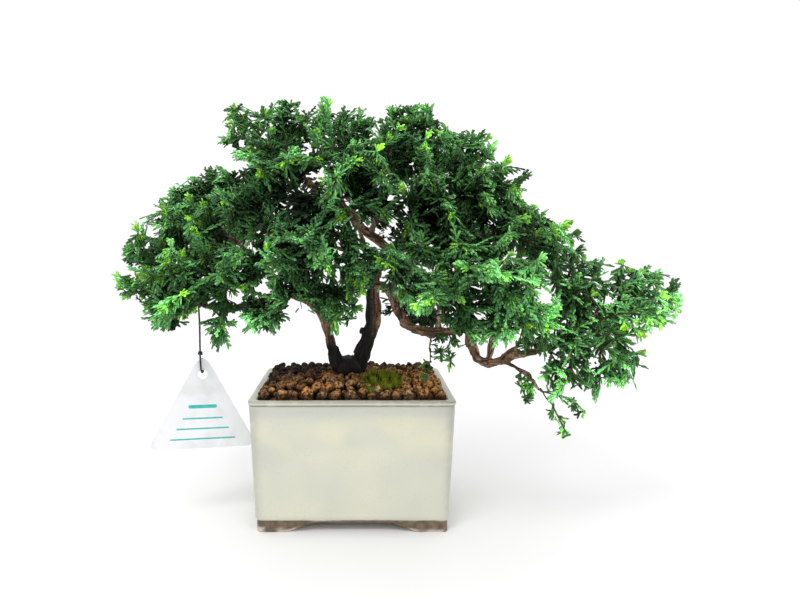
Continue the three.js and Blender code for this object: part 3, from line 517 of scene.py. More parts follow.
rings = list(pot_rings())
pot_plain = np.vstack(rings)
x, y, z = pot_plain.T
swell = WALL_SWELL * noise_at(pot_plain, 26) + WALL_RIPPLE * noise_at(pot_plain, 120) - 0.0003
outward = unit(np.column_stack([x / POT_WIDTH, y / POT_DEPTH, 0 * z]))
pot_points = pot_plain + outward * (swell * ramp(z, 0.001, 0.005))[:, None]
pot_points[:, 2] += (RIM_SAG * noise_at(pot_plain, 30, 3) - 0.0002) * (z > 0.02)
pot_faces = ring_faces(len(rings), len(rings[0]), closed=True)
pot = make_piece("glazed_pot", pot_points + POT_MIDDLE, pot_faces, pot_finish())

# The glaze is thin along the rim's top edge, straw and slate in bands, and gone from the base. Painted
# shade darkens the groove under the lip, the band under the rim and the corners.
x, y, z = pot_points.T
half_width, half_depth = POT_WIDTH / 2, POT_DEPTH / 2
inside = (np.abs(x) < half_width - RIM_WIDTH + 0.0003) & (np.abs(y) < half_depth - RIM_WIDTH + 0.0003)
inside &= z > FLOOR_TOP - 0.001
to_corner = np.hypot(np.maximum(half_width - np.abs(x), 0), np.maximum(half_depth - np.abs(y), 0))
# Dark lines: thin glaze along the rim's top edge, a painted shadow in the groove under the lip and painted
# shade along the corners.
thin = np.maximum.reduce([
    0.95 * bell(z, LIP - 0.0001, 0.00055), 0.60 * bell(z, POT_HEIGHT - 0.0009, 0.0004) * ~inside,
    0.22 * bell(to_corner, 0.004, 0.003) * (z < LIP)])
ragged = 0.0007 * noise_at(pot_plain, 60) + 0.0003 * noise_at(pot_plain, 400)
clay = ramp(z - ragged, FOOT_HEIGHT + 0.0012, FOOT_HEIGHT + 0.0006)
clay[inside & (z < 0.07)] = 1
# The inside of the rim is painted darker further down.
darker_inside = inside * np.clip((POT_HEIGHT - 0.0008 - z) / 0.004, 0, 0.9)
straw = bell(z, 0.067, 0.011) * patches(pot_plain, 0.022, -0.05, 0.35)
# Slate: a patchy grey-blue band of the glaze, and painted shade under the rim band and along the corners.
slate_and_shade = np.maximum.reduce([
    0.8 * bell(z, 0.054, 0.010) * patches(pot_plain * (1, 1, 2), 0.07, -0.35, 0.15),
    bell(z, LIP - 0.004, 0.005) * (z < LIP), 0.8 * bell(to_corner, 0.002, 0.005) * (z < LIP)])
chipped = patches(pot_plain, 0.016, -0.02, 0.06) * ramp(z - ragged, 0.0022, 0.0018)
paint(pot, "pot", np.column_stack([thin * (1 - clay), clay, darker_inside]))
paint(pot, "glaze", np.column_stack([straw * (z < LIP), slate_and_shade * 0.9, chipped]))
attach(pot, "root")
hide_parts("pot")

# ---------- mesh over the drain hole ----------
# A square of black moulded plastic mesh that lies on the floor of the pot, under the soil.
def mesh_finish():
    finish = Finish("black_mesh", 0.6)
    colour = finish.blend(finish.cloud(500), (0.015, 0.015, 0.015), (0.05, 0.048, 0.045))
    return finish.done(colour, finish.cloud(1500), 0.00005)


dress(bpy.data.objects["drain_mesh"].data, mesh_finish())

# ---------- soil ----------
# Granules of fired clay, pumice and lava, most of 5 to 8 mm, mounded up to the trunk. They are nearly
# black at the back left and orange along the front and the right, with painted shade low down between them.
SOIL_EDGE = 0.0905
SOIL_CROWN = 0.0935
SOIL_HALF = np.array([POT_WIDTH / 2 - RIM_WIDTH, POT_DEPTH / 2 - RIM_WIDTH])
COLLAR_AT = np.array([-0.002, 0.009])
COLLAR_RADIUS = 0.0098
GRAIN_RADIUS = (0.0023, 0.0043)
GRAIN_LIFT = (-0.0008, 0.0012)
# How long the dents of a granule are, as waves on a ball one unit in radius, and how deep.
GRAIN_DENTS = ((2.2, 0.10), (4.3, 0.08), (7.5, 0.06))
FINE_BEFORE = 0.002
FINE_FROM = 0.0025
BED_DEEP = 0.0042
MOSS_AT = np.array([0.0195, -0.016])
MOSS_HALF = np.array([0.0155, 0.017])

random = np.random.default_rng(5)


def mound_height(x, y):
    away = np.hypot((x - COLLAR_AT[0]) / POT_WIDTH, (y - COLLAR_AT[1]) / POT_DEPTH)
    share = ramp(away, 0.06, 0.50)
    share = share * share * (3 - 2 * share)
    return SOIL_CROWN + (SOIL_EDGE - SOIL_CROWN) * share


def soil_finish():
    finish = Finish("grit", 0.9, 0.25)
    warm, pale, deep = finish.painted("grit")
    mottle = finish.cloud(520, 5)
    dark = finish.blend(finish.between(mottle, 0.35, 0.65), (0.008, 0.005, 0.004), (0.085, 0.050, 0.032))
    orange = finish.blend(finish.between(mottle, 0.41, 0.57), (0.13, 0.036, 0.010), (0.95, 0.44, 0.130))
    tan = finish.blend(finish.between(mottle, 0.40, 0.58), (0.19, 0.09, 0.035), (0.92, 0.60, 0.31))
    colour = finish.blend(warm, dark, finish.blend(pale, orange, tan))
    pits = finish.between(finish.cloud(1300, 4), 0.36, 0.46)
    colour = finish.blend(pits, finish.blend(0.75, colour, (0.02, 0.008, 0.004)), colour)
    # The third channel is painted shade: near black low down on the granules, on the lower layer and on the
    # body beneath.
    colour = finish.blend(deep, colour, (0.004, 0.003, 0.002))
    return finish.done(colour, finish.blend(0.5, pits, finish.cloud(3200, 3)), 0.0006)


def ball(steps):
    """Points and faces of a round ball of triangles, one unit in radius."""
    shape = bmesh.new()
    bmesh.ops.create_icosphere(shape, subdivisions=steps, radius=1)
    shape.verts.index_update()
    points = np.array([v.co for v in shape.verts])
    faces = np.array([[v.index for v in face.verts] for face in shape.faces])
    shape.free()
    return points, faces


def granule_layer(tries, sunk, closeness):
    """Middles and radii of one layer, the large granules first, none in the moss or in the trunk."""
    half = SOIL_HALF - 0.0004
    spots = random.uniform(-1, 1, (tries, 2)) * half
    front = 0.5 - 0.5 * spots[:, 1] / half[1] + 0.25 * spots[:, 0] / half[0]
    large = np.clip(0.15 + 0.7 * front + random.normal(0, 0.25, tries), 0, 1)
    sizes = GRAIN_RADIUS[0] + (GRAIN_RADIUS[1] - GRAIN_RADIUS[0]) * large
    sizes *= np.linspace(1.08, 0.62, tries)
    kept = []
    for spot, radius in zip(spots, sizes):
        spot = np.clip(spot, radius - half, half - radius)
        if np.hypot(*(spot - COLLAR_AT)) < COLLAR_RADIUS + radius * 0.6:
            continue
        if np.hypot(*((spot - MOSS_AT) / MOSS_HALF)) < 0.88:
            continue
        if kept:
            others = np.array(kept)
            spaces = np.hypot(*(others[:, :2] - spot).T)
            if (spaces < closeness * (others[:, 3] + radius)).any():
                continue
        height = mound_height(*spot) - sunk - 0.0020 * ramp(-spot[1] / half[1], 0.55, 0.90)
        kept.append((*spot, height + random.uniform(*GRAIN_LIFT), radius))
    return np.array(kept)


def granules(places, points, faces):
    """Rounded, uneven stones: each a ball that is flattened, turned and dented in its own way."""
    count = len(places)
    turns = np.linalg.qr(random.normal(size=(count, 3, 3)))[0]
    flat = random.uniform(0.74, 1.12, (count, 1, 3))
    body = np.broadcast_to(points, (count, *points.shape)).copy()
    for waves, depth in GRAIN_DENTS:
        for _ in range(3):
            heading = random.normal(size=(count, 1, 3)) * waves
            phase = random.uniform(0, 6.3, (count, 1))
            dent = np.sin((points[None] * heading).sum(axis=2) + phase)
            body *= 1 + depth * dent[..., None] / 1.7
    body = np.einsum("nij,nvj->nvi", turns, body * flat)
    body = body * places[:, None, 3:4] + places[:, None, :3]
    all_faces = faces[None] + (np.arange(count) * len(points))[:, None, None]
    return body.reshape(-1, 3), all_faces.reshape(-1, 3)


# Under the granules the soil is one body down to the floor of the pot, painted almost black as shade.
def bed():
    """Points and faces of that body: an uneven top, a smaller flat base, and sides between them."""
    wide, deep = 41, 31
    half = SOIL_HALF - 0.0005
    grid = np.stack(np.meshgrid(np.linspace(-1, 1, wide), np.linspace(-1, 1, deep)), axis=-1) * half
    grid = grid.reshape(-1, 2)
    top = mound_height(*grid.T) - BED_DEEP + random.normal(0, 0.0004, len(grid))
    base_share = 1 - (INSIDE_TAPER[1] + POT_TAPER - RIM_WIDTH + 0.0008) / (POT_DEPTH / 2)
    base = np.full(len(grid), FLOOR_TOP + 0.0018)
    points = np.vstack([np.column_stack([grid, top]), np.column_stack([grid * base_share, base])])
    ids = np.arange(wide * deep).reshape(deep, wide)
    top_faces = np.stack([ids[:-1, :-1], ids[:-1, 1:], ids[1:, 1:], ids[1:, :-1]], axis=-1).reshape(-1, 4)
    walk = np.concatenate([ids[0], ids[1:, -1], ids[-1, -2::-1], ids[-2:0:-1, 0]])
    ahead = np.roll(walk, -1)
    side_faces = np.stack([ahead, walk, walk + ids.size, ahead + ids.size], axis=-1)
    return points, np.vstack([top_faces, top_faces[:, ::-1] + ids.size, side_faces]).tolist()


top_layer = granule_layer(5200, -0.0010, 0.84)
under_layer = granule_layer(1500, 0.0030, 0.95)
fine = (top_layer[:, 1] < FINE_BEFORE) & (top_layer[:, 3] > FINE_FROM)
grit_points, grit_faces, grit_colour = [], [], []
first = 0
for places, steps, buried_shade in ((top_layer[fine], 3, 0.0), (top_layer[~fine], 2, 0.0), (under_layer, 2, 0.75)):
    points, faces = granules(places, *ball(steps))
    each = len(points) // len(places)
    warmth = 0.47 + 0.50 * places[:, 0] / (POT_WIDTH / 2) - 0.95 * places[:, 1] / (POT_DEPTH / 2)
    warmth = np.clip(warmth + random.normal(0, 0.25, len(places)), 0, 1)
    pale = np.clip(random.normal(0.25, 0.3, len(places)), 0, 1)
    # Painted shade: each granule darkens low down among its neighbours, and the lower layer is darker still.
    lit = ramp(points[:, 2] - mound_height(*points[:, :2].T), 0.0002, 0.0028)
    shade = np.maximum(buried_shade, 0.85 * (1 - lit))
    grit_points.append(points)
    grit_faces.append(faces + first)
    grit_colour.append(np.column_stack([warmth.repeat(each), pale.repeat(each), shade]))
    first += len(points)
bed_points, bed_faces = bed()
soil_points = np.vstack([bed_points, *grit_points]) + POT_MIDDLE
soil_faces = bed_faces + (np.vstack(grit_faces) + len(bed_points)).tolist()
soil = make_piece("grit_bed", soil_points, soil_faces, soil_finish())
paint(soil, "grit", np.vstack([np.tile([0.2, 0.0, 0.95], (len(bed_points), 1)), *grit_colour]))
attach(soil, "root")
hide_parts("soil")

# ---------- moss ----------
# A cushion of moss beside the trunk, of fine upright stems that lean out towards its edge. It is dark
# on the side of the trunk and yellow-green where it gets the light.
MOSS_STEMS = 6400
MOSS_TALL = (0.0018, 0.0056)
MOSS_THICK = (0.00032, 0.00062)
MOSS_RISE = 0.0044
MOSS_SUNK = 0.0018
STEM_FACES = np.array([(0, 1, 3), (1, 2, 3), (2, 0, 3)])


def moss_finish():
    finish = Finish("moss", 0.85, 0.25)
    tip, dry, fresh = finish.painted("moss")
    green = finish.blend(fresh, (0.005, 0.040, 0.012), (0.76, 0.90, 0.036))
    green = finish.blend(dry, green, (0.34, 0.33, 0.04))
    # Painted shade among the stems: the first channel takes each needle from near black at its root to green
    # at its tip.
    return finish.done(finish.blend(tip, (0.003, 0.007, 0.002), green))


def moss_rise(spread):
    """Height of the cushion over the soil, at places given as shares of its half sizes."""
    away = np.clip(np.hypot(*spread.T), 0, 1)
    lumps = noise_at(spread, 2.6, 4)
    return MOSS_RISE * np.sqrt(1 - (away * 0.98) ** 2) * (1 + 0.9 * lumps) - MOSS_SUNK


def moss_stems():
    """Three-sided needles on the cushion, thin at the root and at the tip."""
    angle = random.uniform(0, 2 * math.pi, MOSS_STEMS)
    share = np.sqrt(random.uniform(0, 1, MOSS_STEMS))
    edge = 1 + 0.14 * np.sin(3 * angle + 1) + 0.10 * np.sin(5 * angle) + 0.06 * np.sin(9 * angle + 2)
    spread = np.column_stack([np.cos(angle), np.sin(angle)]) * (share * edge)[:, None]
    foot = MOSS_AT + spread * MOSS_HALF * 0.95
    base = np.column_stack([foot, mound_height(*foot.T) + moss_rise(spread)])
    tufts = np.column_stack([noise_at(foot, 420, level) for level in (7, 8, 9)])
    clumps = noise_at(foot, 300, 2)
    lean = np.column_stack([spread * 0.5, np.ones(MOSS_STEMS)]) + random.normal(0, 0.25, (MOSS_STEMS, 3))
    lean = unit(lean + tufts * 0.9)
    tall = random.uniform(*MOSS_TALL, MOSS_STEMS) * (1 + 0.9 * clumps)
    side = unit(np.cross(lean, random.normal(size=(MOSS_STEMS, 3))))
    over = np.cross(lean, side)
    thick = random.uniform(*MOSS_THICK, MOSS_STEMS)
    corners = []
    for angle in np.arange(3) * 2 * math.pi / 3:
        corners.append(base + (math.cos(angle) * side + math.sin(angle) * over) * thick[:, None])
    corners.append(base + lean * tall[:, None])
    points = np.stack(corners, axis=1).reshape(-1, 3)
    faces = (STEM_FACES[None] + (np.arange(MOSS_STEMS) * 4)[:, None, None]).reshape(-1, 3)
    dry = np.clip(random.normal(0.12, 0.18, MOSS_STEMS) + 0.35 * share**4, 0, 1)
    fresh = np.clip(0.42 + 0.60 * spread[:, 0] + 2.2 * clumps + random.normal(0, 0.25, MOSS_STEMS), 0, 1)
    colour = np.zeros((MOSS_STEMS, 4, 3))
    # The first channel is painted light: none at a needle's root, which stays in painted shade, and some at
    # its tip, less where the stems are short.
    colour[:, 3, 0] = random.uniform(0.45, 1, MOSS_STEMS) * np.clip(1.1 + 1.6 * clumps, 0.25, 1)
    colour[:, :, 1] = dry[:, None]
    colour[:, :, 2] = fresh[:, None]
    return points, faces, colour.reshape(-1, 3)


def cushion():
    """Points and faces of the low body that the stems stand on: a ball pressed on to the soil."""
    points, faces = ball(3)
    spread = points[:, :2]
    around = spread * MOSS_HALF * 0.92 + MOSS_AT
    rise = np.where(points[:, 2] > 0, moss_rise(spread), -0.0022 + 0.0015 * points[:, 2])
    return np.column_stack([around, mound_height(*around.T) + rise]), faces


stem_points, stem_faces, stem_colour = moss_stems()
cushion_points, cushion_faces = cushion()
moss_points = np.vstack([cushion_points, stem_points]) + POT_MIDDLE
moss_faces = np.vstack([cushion_faces, stem_faces + len(cushion_points)]).tolist()
moss = make_piece("moss_cushion", moss_points, moss_faces, moss_finish())
# The cushion under the needles is painted almost wholly in shade.
paint(moss, "moss", np.vstack([np.tile([0.1, 0.1, 0.2], (len(cushion_points), 1)), stem_colour]))
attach(moss, "root")
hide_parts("moss")

# ---------- wood ----------
# The twin trunks and limbs, with fibrous bark that flakes along the grain. It is almost black above
# the soil and red-brown further up, with painted shade on the right trunk's inner side.
VOXEL = 0.00075
JOINED = 0.00001
GRAIN_STEP = 6
GRAIN_REACH = 0.0042
FIBRE_DEPTH = 0.00024
STRIP_DEPTH = 0.00034
LUMP_DEPTH = (0.0008, 0.0020)


def welded(node):
    """Points, triangles and edges of a CAD node, with its points joined where its faces meet."""
    mesh = bpy.data.objects[node].data
    points = read(mesh.vertices, "co")
    cells = np.round(points / JOINED).astype(int)
    _, first, index = np.unique(cells, axis=0, return_index=True, return_inverse=True)
    triangles = index.ravel()[np.array([p.vertices for p in mesh.polygons])]
    edges = np.vstack([triangles[:, [0, 1]], triangles[:, [1, 2]], triangles[:, [2, 0]]])
    edges = np.unique(np.sort(edges, axis=1), axis=0)
    return points[first], triangles, edges[edges[:, 0] != edges[:, 1]]


def grain_ways(points, normals):
    """The way of the wood's grain at each point: the one that the normals nearby have least of. It
    is worked out at some of the points, and the others take it from the nearest of those."""
    some = points[::GRAIN_STEP]
    tree = KDTree(len(some))
    for i, p in enumerate(some):
        tree.insert(p, i)
    tree.balance()
    products = normals[::GRAIN_STEP, :, None] * normals[::GRAIN_STEP, None, :]
    sums = np.array([products[[k for _, k, _ in tree.find_range(p, GRAIN_REACH)]].sum(axis=0) for p in some])
    ways = np.linalg.eigh(sums)[1][:, :, 0]
    return ways[[tree.find(p)[1] for p in points]]


def along_grain(values, points, edges, ways, rounds, cross):
    """Values smoothed along the grain only, which draws specks out into fibres and ridges."""
    a, b = edges.T
    heading = unit(points[b] - points[a])
    same = np.sign((ways[a] * ways[b]).sum(axis=1))[:, None]
    lined = np.abs((heading * (ways[a] + ways[b] * same)).sum(axis=1))
    weight = np.clip(lined / 2, 0, 1) ** cross
    for _ in range(rounds):
        total = values.copy()
        weights = np.ones(len(values))
        for here, there in ((a, b), (b, a)):
            np.add.at(total, here, values[there] * weight)
            np.add.at(weights, here, weight)
        values = total / weights
    return (values - values.mean()) / values.std()


def bark_finish():
    finish = Finish("flaking_bark", 0.82)
    ridge, low_black_and_shade, flake = finish.painted("bark")
    brown = finish.blend(ridge, (0.014, 0.006, 0.003), (0.42, 0.235, 0.130))
    loose = finish.times(flake, finish.between(ridge, 0.40, 0.85))
    brown = finish.blend(loose, brown, (0.60, 0.44, 0.31))
    cracks = finish.between(finish.cloud(620, 3), 0.40, 0.49, 0.8, 0.0)
    brown = finish.blend(cracks, brown, (0.030, 0.013, 0.008))
    brown = finish.flecked(brown, (0.12, 0.13, 0.04), 45, 2, 0.56, 0.70, 0.5)
    grain = finish.cloud(1400, 4)
    brown = finish.blend(finish.between(grain, 0.3, 0.7, 0, 0.5), brown, (0.11, 0.05, 0.03))
    # The second channel blackens the wood just above the soil and, as painted shade, the right trunk's inner
    # side.
    black = finish.blend(ridge, (0.001, 0.001, 0.001), (0.012, 0.010, 0.009))
    return finish.done(finish.blend(low_black_and_shade, brown, black), grain, 0.0005)


def even_wood(points, triangles):
    """The wood's own form with its points spread evenly, as a mesh."""
    rough = make_piece("rough_wood", points, triangles, None)
    remesh = rough.modifiers.new("remesh", "REMESH")
    remesh.mode = "VOXEL"
    remesh.voxel_size = VOXEL
    rough.modifiers.new("smooth", "SMOOTH").iterations = 5
    mesh = bpy.data.meshes.new_from_object(rough.evaluated_get(bpy.context.evaluated_depsgraph_get()))
    bpy.data.objects.remove(rough)
    mesh.name = "bark"
    return mesh


wood_points, wood_triangles, _ = welded("trunk")
wood_surface = BVHTree.FromPolygons([Vector(p) for p in wood_points], wood_triangles.tolist())
shape = even_wood(wood_points, wood_triangles)
points, normals = read(shape.vertices, "co"), read(shape.vertices, "normal")
edges = read(shape.edges, "vertices", 2, int)
points += 0.8 * (np.array([wood_surface.find_nearest(p)[0] for p in points]) - points)
ways = grain_ways(points, normals)
fibres = along_grain(random.normal(size=len(points)), points, edges, ways, 26, 6)
strips = along_grain(random.normal(size=len(points)), points, edges, ways, 70, 4)
lumps = LUMP_DEPTH[0] + (LUMP_DEPTH[1] - LUMP_DEPTH[0]) * ramp(points[:, 2], 0.125, 0.095)
relief = FIBRE_DEPTH * fibres + STRIP_DEPTH * strips + lumps * noise_at(points, 130)
points = points + normals * (relief + 0.0001)[:, None]
shape.vertices.foreach_set("co", points.ravel())
dress(shape, bark_finish())
shape.shade_smooth()
bark = add_object("bark", shape)

# The wood is almost black up to a wavy line above the soil, and painted shade darkens the right trunk's
# inner side, which faces the left trunk, higher up.
across, back = (points - POT_MIDDLE)[:, :2].T
height = points[:, 2] + 0.006 * noise_at(points, 60)
inner_side_shade = ramp(across, 0.0165, 0.0125) * ramp(height, 0.190, 0.160)
right_trunk = np.maximum(ramp(height, 0.130, 0.122), inner_side_shade)
low_black_and_shade = np.where(across > 0.0005, right_trunk, ramp(height, 0.126, 0.116))
low_black_and_shade = low_black_and_shade * (np.hypot(across - 0.004, back) < 0.036)
ridge = np.clip(0.5 + 0.32 * fibres + 0.30 * strips, 0, 1)
flake = np.clip(0.4 + 1.6 * noise_at(points + (0.12, 0, 0), 75), 0, 1)
paint(bark, "bark", np.column_stack([ridge, low_black_and_shade, flake]))
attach(bark, "root")
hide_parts("trunk")

# ---------- foliage ----------
# Flat sprays of scale leaves on thin woody twigs. Each shoot is clasped by pairs of blunt scales and
# ends in a bud; the shoots stand to the left and right in turn, and the new ones are yellow-green.
# Points of a blade nearer than JOIN are in one ring, and those nearer than TWIN are its two faces.
JOIN = 0.0034
TWIN = 0.0011
# Where a shoot has a ring of points, how wide it is there, and how much of its painted light it keeps
# there and at its tip, less at its root and between the pairs of scales as painted shade: the full form,
# which swells at each pair of scales, and a plain one.
FINE_FORM = (np.array([0.0, 0.36, 0.47, 0.84]), np.array([0.75, 1.0, 0.76, 0.96]),
             np.array([0.7, 1.0, 0.72, 1.05, 1.2]))
PLAIN_FORM = (np.array([0.0, 0.80]), np.array([0.78, 0.98]), np.array([0.68, 1.05, 1.2]))
SHOOT_HALF = 0.00082
SHOOT_FLATNESS = 0.65
STEP = 0.00142
SPREAD = 33
SIDE_LENGTH = 0.0056
TIP_INSET = 0.0032
TURNS = ((0, 1), (1, 2), (2, 0))
# The further fans of a lobe: the degrees that each tilts out of the blade and turns in it, and its
# length as a share of the lobe's.
LOBE_FANS = ((22, 0, 0.85), (-22, 0, 0.85), (6, 19, 0.75), (-6, -19, 0.75))
TWIG_FROM = 0.10
TWIG_RADIUS = (0.00014, 0.0010)
# Sprays whose middle is lower than this hang free: their shoots are slender and droop less.
SLENDER_BELOW = 0.118
SLENDER_TWIG = (0.0005, 0.0004)
# Fans grow inwards from every stem, fewer of them at the open right end of the crown.
INNER_FANS = 10
OPEN_FANS = 5
OPEN_BEYOND = 0.105
INNER_REACH = (0.009, 0.019)
DARK_BELOW = 0.35
BOX_CLEAR = 0.002
# The crown's density, in cells, is 1 on average among the blades and CROWN_EDGE where it ends.
CROWN_CELL = 0.006
CROWN_MARGIN = 8
CROWN_EDGE = 0.60
CROWN_SHADE = 0.62
CROWN_MIDDLE = POT_MIDDLE + (0.010, 0.0, 0.150)
SKY_WAYS = ((0, 0, 1), (0.7, 0, 0.7), (-0.7, 0, 0.7), (0, -0.7, 0.7), (0, 0.7, 0.7), (0, -1, 0),
            (0, -0.9, 0.4), (0, -0.8, -0.6), (-0.8, -0.4, -0.5), (0.8, -0.4, -0.5))
# Places along the upper limb and the left trunk that no leaves hide, and half the gap's size there.
BARE_LIMB = POT_MIDDLE + np.array([
    [-0.012, -0.040, 0.225], [-0.004, -0.040, 0.214], [0.002, -0.040, 0.205], [0.008, -0.040, 0.196],
    [0.017, -0.040, 0.188], [-0.035, -0.040, 0.153], [-0.028, -0.040, 0.150], [-0.022, -0.040, 0.144],
    [-0.017, -0.040, 0.137], [-0.014, -0.040, 0.130]])
BARE_HALF = np.array([0.0055, 0.040, 0.0055])
# The shady hollows between the masses of leaves: middle across and up, half sizes, share of light lost.
HOLLOWS = np.array([
    [-0.032, 0.213, 0.0178, 0.0132, 0.93], [0.010, 0.219, 0.0099, 0.0059, 0.93],
    [0.036, 0.213, 0.0085, 0.0100, 0.93], [0.009, 0.205, 0.0053, 0.0046, 0.93],
    [-0.068, 0.150, 0.0198, 0.0040, 0.80], [0.020, 0.197, 0.0120, 0.0300, 0.62],
    [-0.048, 0.199, 0.0120, 0.0100, 0.45], [0.022, 0.173, 0.0150, 0.0140, 0.50],
    [0.048, 0.151, 0.0120, 0.0100, 0.45], [0.102, 0.164, 0.0200, 0.0090, 0.40]])
# Small growth from the nearest limb or stem: the middle of its tips, half their spread across and up,
# how many fans it has and how much light they get. Close growth fills the crown, and single long
# shoots stand out of it.
CLOSE_GROWTH = (
    (0.046, -0.010, 0.141, 0.0115, 0.0085, 80, 0.32), (0.023, -0.005, 0.145, 0.0032, 0.0085, 14, 0.30),
    (0.061, -0.030, 0.121, 0.0095, 0.0060, 32, 0.80), (0.110, -0.052, 0.126, 0.0090, 0.0050, 26, 0.60),
    (0.107, -0.076, 0.127, 0.0085, 0.0060, 14, 0.60), (0.107, -0.056, 0.101, 0.0055, 0.0090, 22, 0.80),
    (-0.027, 0.004, 0.254, 0.0070, 0.0100, 36, 0.40), (0.026, 0.004, 0.195, 0.0060, 0.0055, 22, 0.22),
    (-0.041, 0.004, 0.257, 0.0100, 0.0090, 30, 0.45), (0.028, 0.004, 0.233, 0.0060, 0.0100, 26, 0.35),
    (-0.028, 0.004, 0.226, 0.0075, 0.0075, 30, 0.25))
LONG_SHOOTS = (
    (-0.079, -0.006, 0.277, 0.0085, 0.0022, 10, 0.90), (-0.060, -0.003, 0.276, 0.0080, 0.0025, 10, 0.90),
    (0.107, -0.027, 0.232, 0.0090, 0.0040, 12, 0.80), (0.094, -0.024, 0.238, 0.0060, 0.0030, 6, 0.80),
    (0.190, -0.059, 0.167, 0.0070, 0.0025, 8, 0.90), (0.154, -0.012, 0.185, 0.0025, 0.0060, 8, 0.80),
    (-0.144, -0.023, 0.190, 0.0045, 0.0022, 6, 0.90), (-0.137, -0.051, 0.167, 0.0060, 0.0022, 6, 0.90),
    (0.140, -0.053, 0.088, 0.0055, 0.0060, 10, 0.90), (0.131, -0.062, 0.072, 0.0030, 0.0035, 6, 0.90))
GROWTH_REACH = (0.003, 0.026)


def leaf_finish():
    finish = Finish("scale_leaves", 0.52, 0.14)
    fresh, blue, painted_light = finish.painted("leaf")
    green = finish.blend(blue, (0.067, 0.236, 0.033), (0.047, 0.183, 0.070))
    # Pale grey-green flecks are painted highlights, as glints on the glossy scales.
    green = finish.flecked(green, (0.26, 0.42, 0.20), 900, 2, 0.48, 0.66, 0.62)
    dark = finish.between(finish.cloud(800, 2, (2, 1, 1)), 0.46, 0.34, 0, 0.6)
    green = finish.blend(dark, green, (0.012, 0.05, 0.008))
    green = finish.blend(fresh, green, (0.175, 0.41, 0.014))
    # The third channel is painted light: the light at each shoot's place in the crown, which darkens the
    # leaves inside it and in its hollows.
    grey = finish.add("ShaderNodeCombineColor", {0: painted_light, 1: painted_light, 2: painted_light}).outputs[0]
    green = finish.blend(1.0, green, grey, "MULTIPLY")
    twig = finish.add("ShaderNodeVertexColor", layer_name="leaf").outputs["Alpha"]
    brown = finish.blend(finish.cloud(700), (0.030, 0.020, 0.010), (0.12, 0.075, 0.035))
    return finish.done(finish.blend(twig, green, brown), finish.cloud(2600, 2), 0.0002)


class Spray:
    """The branching of one CAD spray, read back from its blades: rings that are joined by stems, and
    lobes that stand on the stems."""

    def __init__(self, node):
        self.points, _, edges = welded(node)
        spans = np.linalg.norm(self.points[edges[:, 0]] - self.points[edges[:, 1]], axis=1)
        self.edges = [(a, b, span) for (a, b), span in zip(edges, spans)]
        near = [[] for _ in self.points]
        for a, b, span in self.edges:
            near[a].append((span, b))
            near[b].append((span, a))
        apexes = [i for i, n in enumerate(near) if len(n) == 4 and min(n)[0] > TWIN]
        ring_of = self.rings(set(apexes))
        self.lobes = [(apex, {ring_of[b] for _, b in near[apex]} - {-1}) for apex in apexes]
        self.middles = np.array([self.points[ring_of == k].mean(axis=0) for k in range(ring_of.max() + 1)])
        self.root_at_wood()
        self.follow_stems(self.read_stems(ring_of))
        self.weigh_stems()

    def rings(self, apexes):
        """The ring that each point is in, or -1 at an apex: points in a ring are close together."""
        owner = list(range(len(self.points)))

        def find(i):
            while owner[i] != i:
                owner[i] = owner[owner[i]]
                i = owner[i]
            return i

        for a, b, span in self.edges:
            if span < JOIN and a not in apexes and b not in apexes:
                owner[find(a)] = find(b)
        numbers = {}
        return np.array([-1 if i in apexes else numbers.setdefault(find(i), len(numbers))
                         for i in range(len(self.points))])

    def root_at_wood(self):
        """The root is the ring nearest to the wood, of those that carry no lobe."""
        carrying = set().union(*(rings for _, rings in self.lobes))
        every = range(len(self.middles))
        bare = [i for i in every if i not in carrying] or list(every)
        self.root = min(bare, key=lambda i: wood_surface.find_nearest(self.middles[i])[3])

    def read_stems(self, ring_of):
        """The rings that each ring is joined to. The short edges across a ring give its blade's face."""
        self.faces = np.full((len(self.middles), 3), (0, 0, 1e-6))
        links = [set() for _ in self.middles]
        for a, b, span in self.edges:
            i, j = ring_of[a], ring_of[b]
            if i < 0 or j < 0:
                continue
            if span < TWIN:
                way = (self.points[a] - self.points[b]) / span
                self.faces[i] += way * np.sign(way @ (0.1, -0.3, 1.0))
            if i != j:
                links[i].add(j)
                links[j].add(i)
        self.faces = unit(self.faces)
        return links

    def follow_stems(self, links):
        """Each ring's parent and its run from the root. A stretch without a stem counts six times."""
        self.parent = {self.root: None}
        self.run = {self.root: 0.0}
        queue = [(0.0, self.root)]
        while queue:
            run, i = heapq.heappop(queue)
            if run > self.run[i]:
                continue
            spans = np.linalg.norm(self.middles - self.middles[i], axis=1)
            for j, span in enumerate(spans):
                further = run + span * (1 if j in links[i] else 6)
                if further < self.run.get(j, 1e9):
                    self.run[j] = further
                    self.parent[j] = i
                    heapq.heappush(queue, (further, j))

    def weigh_stems(self):
        """The length of all the stems and lobes that each ring carries, which gives its thickness."""
        self.carried = dict.fromkeys(self.parent, 0.0)
        for _, rings in self.lobes:
            self.carried[min(rings, key=self.run.get)] += 0.012
        for ring in sorted(self.parent, key=self.run.get, reverse=True):
            before = self.parent[ring]
            if before is not None:
                self.carried[before] += self.carried[ring] + self.run[ring] - self.run[before]


